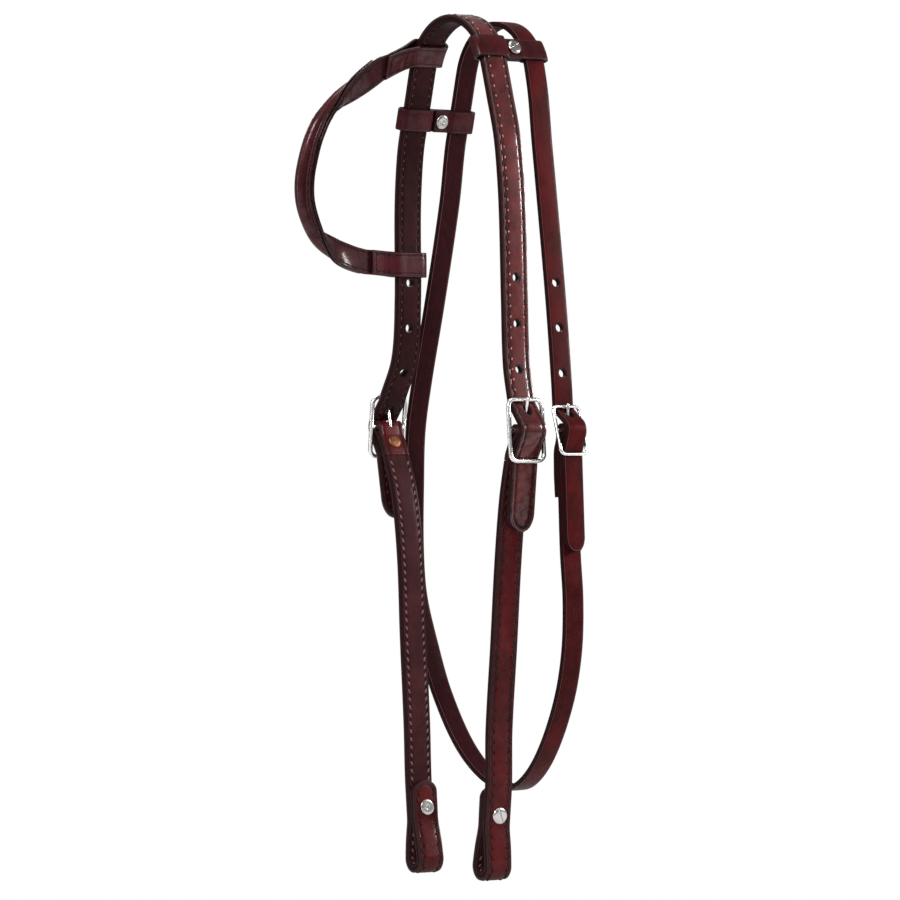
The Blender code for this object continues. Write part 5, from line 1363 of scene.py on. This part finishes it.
def makeEar(topRun, lowRun):
    width = earSize["width"]
    wrap = Way([Vector((out, back, 0.0)) for out, back in earWrap()])
    leg = (earSize["backLayer"] + 0.0003) / 2
    columns = 8

    def slip(back, lean):
        return max(0.0, -back - crownStrap["width"] / 2 - earSize["backLayer"] / 2) * math.tan(lean)

    def wrapRow(station, run, lean):
        spot = wrap.at(station)
        row = []
        for k in range(columns + 1):
            place = run + width * (k / columns - 0.5) - slip(spot.y, lean)
            normal = crownWay.heading(place).cross(yAxis)
            row.append(crownWay.at(place) + normal * spot.x + yAxis * spot.y)
        return row

    def legEnd(run, lean, forward):
        place = run - slip(-forward, lean)
        heading = crownWay.heading(place)
        return crownWay.at(place) + heading.cross(yAxis) * leg - yAxis * forward, heading

    topStart, topHeading = legEnd(topRun, earSize["topLean"], earSize["lap"])
    lowStart, lowHeading = legEnd(lowRun, earSize["lowLean"], earSize["lap"])
    topJoin = legEnd(topRun, earSize["topLean"], earSize["join"])[0]
    lowJoin = legEnd(lowRun, earSize["lowLean"], earSize["join"])[0]
    topZ, lowZ = crownWay.at(topRun).z, crownWay.at(lowRun).z
    points = [topStart, topJoin]
    for outShare, forwardShare, heightShare in earShares:
        sideways = lowJoin.x + (topJoin.x - lowJoin.x) * heightShare - earSize["reach"] * outShare
        points.append(Vector((sideways, -earSize["reach"] * forwardShare, lowZ + (topZ - lowZ) * heightShare)))
    way = Way(points + [lowJoin, lowStart])
    sides = [topHeading, Vector((1.0, 0.0, 0.25)).normalized(), Vector((1.0, 0.0, 0.0)),
             Vector((1.0, 0.0, -0.25)).normalized(), lowHeading]
    if sides[0].z < 0:
        sides[0] = -sides[0]
    if sides[-1].z > 0:
        sides[-1] = -sides[-1]

    def sideAt(run):
        share = run / way.length
        if share <= earTwist[0]:
            return sides[0]
        for low, high, one, two in zip(earTwist, earTwist[1:], sides, sides[1:]):
            if share <= high:
                return one.lerp(two, eased((share - low) / (high - low))).normalized()
        return sides[-1]

    freeRuns = list(np.linspace(0.0, way.length, int(way.length / 0.0008)))
    freeRows = []
    for run in freeRuns:
        side = squareTo(way.heading(run), sideAt(run))
        freeRows.append([way.at(run) + side * width * (k / columns - 0.5) for k in range(columns + 1)])
    stations = list(np.linspace(0.0, wrap.length, int(wrap.length / 0.0006)))
    topRows = [wrapRow(station, topRun, earSize["topLean"]) for station in stations]
    lowRows = [wrapRow(station, lowRun, earSize["lowLean"]) for station in stations]
    if (topRows[0][0] - freeRows[0][0]).length > (topRows[0][-1] - freeRows[0][0]).length:
        topRows = [flipped(row) for row in topRows]
    if (lowRows[0][0] - freeRows[-1][0]).length > (lowRows[0][-1] - freeRows[-1][0]).length:
        lowRows = [flipped(row) for row in lowRows]
    rows = flipped(topRows) + freeRows[1:-1] + lowRows
    runs = [wrap.length - station for station in flipped(stations)]
    runs += [wrap.length + run for run in freeRuns[1:-1]]
    runs += [wrap.length + way.length + station for station in stations]
    ribbon = Ribbon(runs, rows, width)
    size = {"start": 0.0, "stop": ribbon.length, "width": width, "layer": earSize["backLayer"], "edge": 0.0005,
            "step": 0.0010, "crowned": 0.00006}
    strip = leatherStrip("earBacking", ribbon, size)
    dressed(strip, earLeather, "leather_lining", "crown", "ear_backing")

    # the cover: flanges with a raised roll between them
    coverStart = earSize["join"] - earSize["lap"] + 0.0003
    coverStop = way.length - coverStart
    foot = earSize["backLayer"] / 2 + earSize["gap"] + earSize["coverLayer"] / 2
    coreLift = earSize["backLayer"] / 2 + earSize["gap"] + earSize["core"]
    roll = earSize["core"] + 0.0003 + earSize["coverLayer"] / 2
    profile = [(width / 2, foot), (roll + 0.0022, foot), (roll + 0.0013, foot + 0.00004), (roll + 0.0005, foot + 0.0003),
               (roll * 1.02, foot + 0.0009)]
    for angle in range(10, 90, 10):
        a = math.radians(angle)
        profile.append((roll * math.cos(a), coreLift + roll * math.sin(a)))
    profile = profile + [(0.0, coreLift + roll)] + [(-across, lift) for across, lift in flipped(profile)]
    arc = Way([Vector((across, lift, 0.0)) for across, lift in profile])
    count = 48
    spots = [arc.at(arc.length * (1 - k / count)) for k in range(count + 1)]
    coverRuns = list(np.linspace(coverStart, coverStop, int((coverStop - coverStart) / 0.0008)))
    coverRows = []
    for run in coverRuns:
        heading = way.heading(run)
        side = squareTo(heading, sideAt(run))
        normal = heading.cross(side)
        swell = eased(min(max(min(run - coverStart, coverStop - run) / earSize["taper"], 0.0), 1.0))
        coverRows.append([way.at(run) + side * spot.x + normal * (foot + (spot.y - foot) * swell) for spot in spots])
    coverRibbon = Ribbon([run - coverStart for run in coverRuns], coverRows, arc.length)
    coverSize = {"start": 0.0, "stop": coverRibbon.length, "width": arc.length, "layer": earSize["coverLayer"],
                 "edge": 0.00035, "columns": 40, "step": 0.0010, "crowned": 0.0}
    cover = leatherStrip("earCover", coverRibbon, coverSize)
    dressed(cover, earLeather, "leather_face", "crown", "ear_cover")
    half = arc.length / 2 - earSize["row"]
    rows = [stitchRow(coverRibbon, earStitch, 0.003, coverRibbon.length - 0.003, half * k,
                      earSize["coverLayer"] / 2 + 0.00005, flip=k) for k in (-1, 1)]
    backRows = [stitchRow(ribbon, earStitch, wrap.length + coverStart + 0.003, wrap.length + coverStop - 0.003,
                          (width / 2 - earSize["row"]) * k, -earSize["backLayer"] / 2 - 0.00005, flip=-k) for k in (-1, 1)]
    dressed(joined("earStitches", rows + backRows), darkThread, "leather_face", "crown")
    # stitches that close each loop in front of the crown's edge
    lapRows = []
    outerLayer = earSize["backLayer"] / 2 + 0.00005
    closing = earSize["lap"] - crownStrap["width"] / 2 - 0.0042
    for station, sign in ((wrap.length - 0.002, -1), (wrap.length + way.length + 0.002, 1)):
        for across in (-1, 1):
            start = station if sign > 0 else station - closing
            lapRows.append(stitchRow(ribbon, earStitch, start, start + closing, (width / 2 - earSize["row"]) * across,
                                     outerLayer, flip=across))
    for station in (0.002, ribbon.length - 0.002 - closing):
        for across in (-1, 1):
            lapRows.append(stitchRow(ribbon, earStitch, station, station + closing,
                                     (width / 2 - earSize["row"]) * across, outerLayer, flip=across))
    dressed(joined("earLapStitches", lapRows), darkThread, "leather_face", "crown")
    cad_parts["ear_core"].material_slots[0].material = cord
    print("ear piece made")
    return ribbon, way, wrap


earRibbon, earWay, earWrapWay = makeEar(onArch(-1, math.radians(60.0)), atDrop(-1, 0.1410))


# Stage, camera and light

stageLook = {"floorDrop": 0.004, "floorSize": 6.0, "aim": Vector((-0.0026, -0.0037, -0.2437)), "away": 3.0,
             "azimuth": math.radians(55.0), "lens": 210.5}


def floorFinish():
    s = Shader("paleFloor")
    seen = s.node("ShaderNodeLightPath").wire("Is Camera Ray")
    mottled = s.noise(s.objectPlace(), 3.0, 2.0)
    matt = s.node("ShaderNodeBsdfDiffuse", {}, {"Color": s.mix(mottled, colour(0.80, 0.80, 0.80), colour(0.84, 0.84, 0.84))})
    white = s.node("ShaderNodeEmission", {}, {"Color": colour(1.0, 1.0, 1.0), "Strength": 1.0})
    both = s.node("ShaderNodeMixShader", {}, {0: seen, 1: matt.wire("BSDF"), 2: white.wire("Emission")})
    s.node("ShaderNodeOutputMaterial", {}, {"Surface": both.wire("Shader")})
    return s.material


floor = added("floor", bpy.ops.mesh.primitive_plane_add, size=stageLook["floorSize"],
              location=(0.0, 0.0, cadBox[0].z - stageLook["floorDrop"]))
settle(floor)
floor.data.materials.append(floorFinish())


def skyFinish():
    # white to the camera, a soft grey room with a brighter ceiling to everything else
    world = bpy.data.worlds.new("studio")
    bpy.context.scene.world = world
    world.use_nodes = True
    tree = world.node_tree
    tree.nodes.clear()
    path = tree.nodes.new("ShaderNodeLightPath")
    place = tree.nodes.new("ShaderNodeTexCoord")
    split = tree.nodes.new("ShaderNodeSeparateXYZ")
    ramp = tree.nodes.new("ShaderNodeValToRGB")
    ramp.color_ramp.elements[0].position = 0.35
    ramp.color_ramp.elements[0].color = colour(0.16, 0.16, 0.17)
    ramp.color_ramp.elements[1].position = 0.95
    ramp.color_ramp.elements[1].color = colour(1.00, 1.00, 1.00)
    room = tree.nodes.new("ShaderNodeBackground")
    room.inputs["Strength"].default_value = 0.10
    white = tree.nodes.new("ShaderNodeBackground")
    white.inputs["Color"].default_value = colour(1.0, 1.0, 1.0)
    mix = tree.nodes.new("ShaderNodeMixShader")
    out = tree.nodes.new("ShaderNodeOutputWorld")
    tree.links.new(place.outputs["Generated"], split.inputs[0])
    tree.links.new(split.outputs["Z"], ramp.inputs[0])
    tree.links.new(ramp.outputs[0], room.inputs["Color"])
    # metal sees a share of the white backdrop too
    shown = tree.nodes.new("ShaderNodeMath")
    shown.operation = "MULTIPLY_ADD"
    shown.inputs[1].default_value = 0.30
    tree.links.new(path.outputs["Is Glossy Ray"], shown.inputs[0])
    tree.links.new(path.outputs["Is Camera Ray"], shown.inputs[2])
    tree.links.new(shown.outputs[0], mix.inputs[0])
    tree.links.new(room.outputs[0], mix.inputs[1])
    tree.links.new(white.outputs[0], mix.inputs[2])
    tree.links.new(mix.outputs[0], out.inputs[0])


skyFinish()
scene = bpy.context.scene
scene.view_settings.view_transform = "Standard"


def softBox(name, place, wide, tall, power):
    light = bpy.data.lights.new(name, "AREA")
    light.shape = "RECTANGLE"
    light.size = wide
    light.size_y = tall
    light.energy = power
    holder = bpy.data.objects.new(name, light)
    scene.collection.objects.link(holder)
    holder.location = place
    holder.rotation_euler = (stageLook["aim"] - Vector(place)).to_track_quat("-Z", "Y").to_euler()
    return holder


towardCamera = Vector((math.sin(stageLook["azimuth"]), -math.cos(stageLook["azimuth"]), 0.0))
leftOfCamera = Vector((-math.cos(stageLook["azimuth"]), -math.sin(stageLook["azimuth"]), 0.0))
middle = stageLook["aim"]
softBox("frontBox", middle + towardCamera * 1.5 + leftOfCamera * 0.7 + Vector((0, 0, 1.1)), 0.7, 0.7, 30.0)
softBox("sideBox", middle + towardCamera * 0.08 - leftOfCamera * 1.29 + Vector((0, 0, 0.42)), 0.20, 0.42, 12.0)
softBox("edgeBox", middle + towardCamera * 0.55 + leftOfCamera * 1.3 + Vector((0, 0, 0.1)), 0.20, 1.3, 4.0)
softBox("topBox", middle + towardCamera * 0.1 + Vector((0, 0, 1.5)), 0.9, 0.9, 9.0)
softBox("backBox", middle - towardCamera * 1.4 + leftOfCamera * 0.5 + Vector((0, 0, 0.9)), 0.8, 0.8, 12.0)

camera = bpy.data.cameras.new("camera")
camera.lens = stageLook["lens"]
camera.sensor_width = 36.0
camera.clip_end = 20.0
cameraHolder = bpy.data.objects.new("camera", camera)
scene.collection.objects.link(cameraHolder)
cameraHolder.location = middle + towardCamera * stageLook["away"]
cameraHolder.rotation_euler = (-towardCamera).to_track_quat("-Z", "Y").to_euler()
scene.camera = cameraHolder
print("stage made")
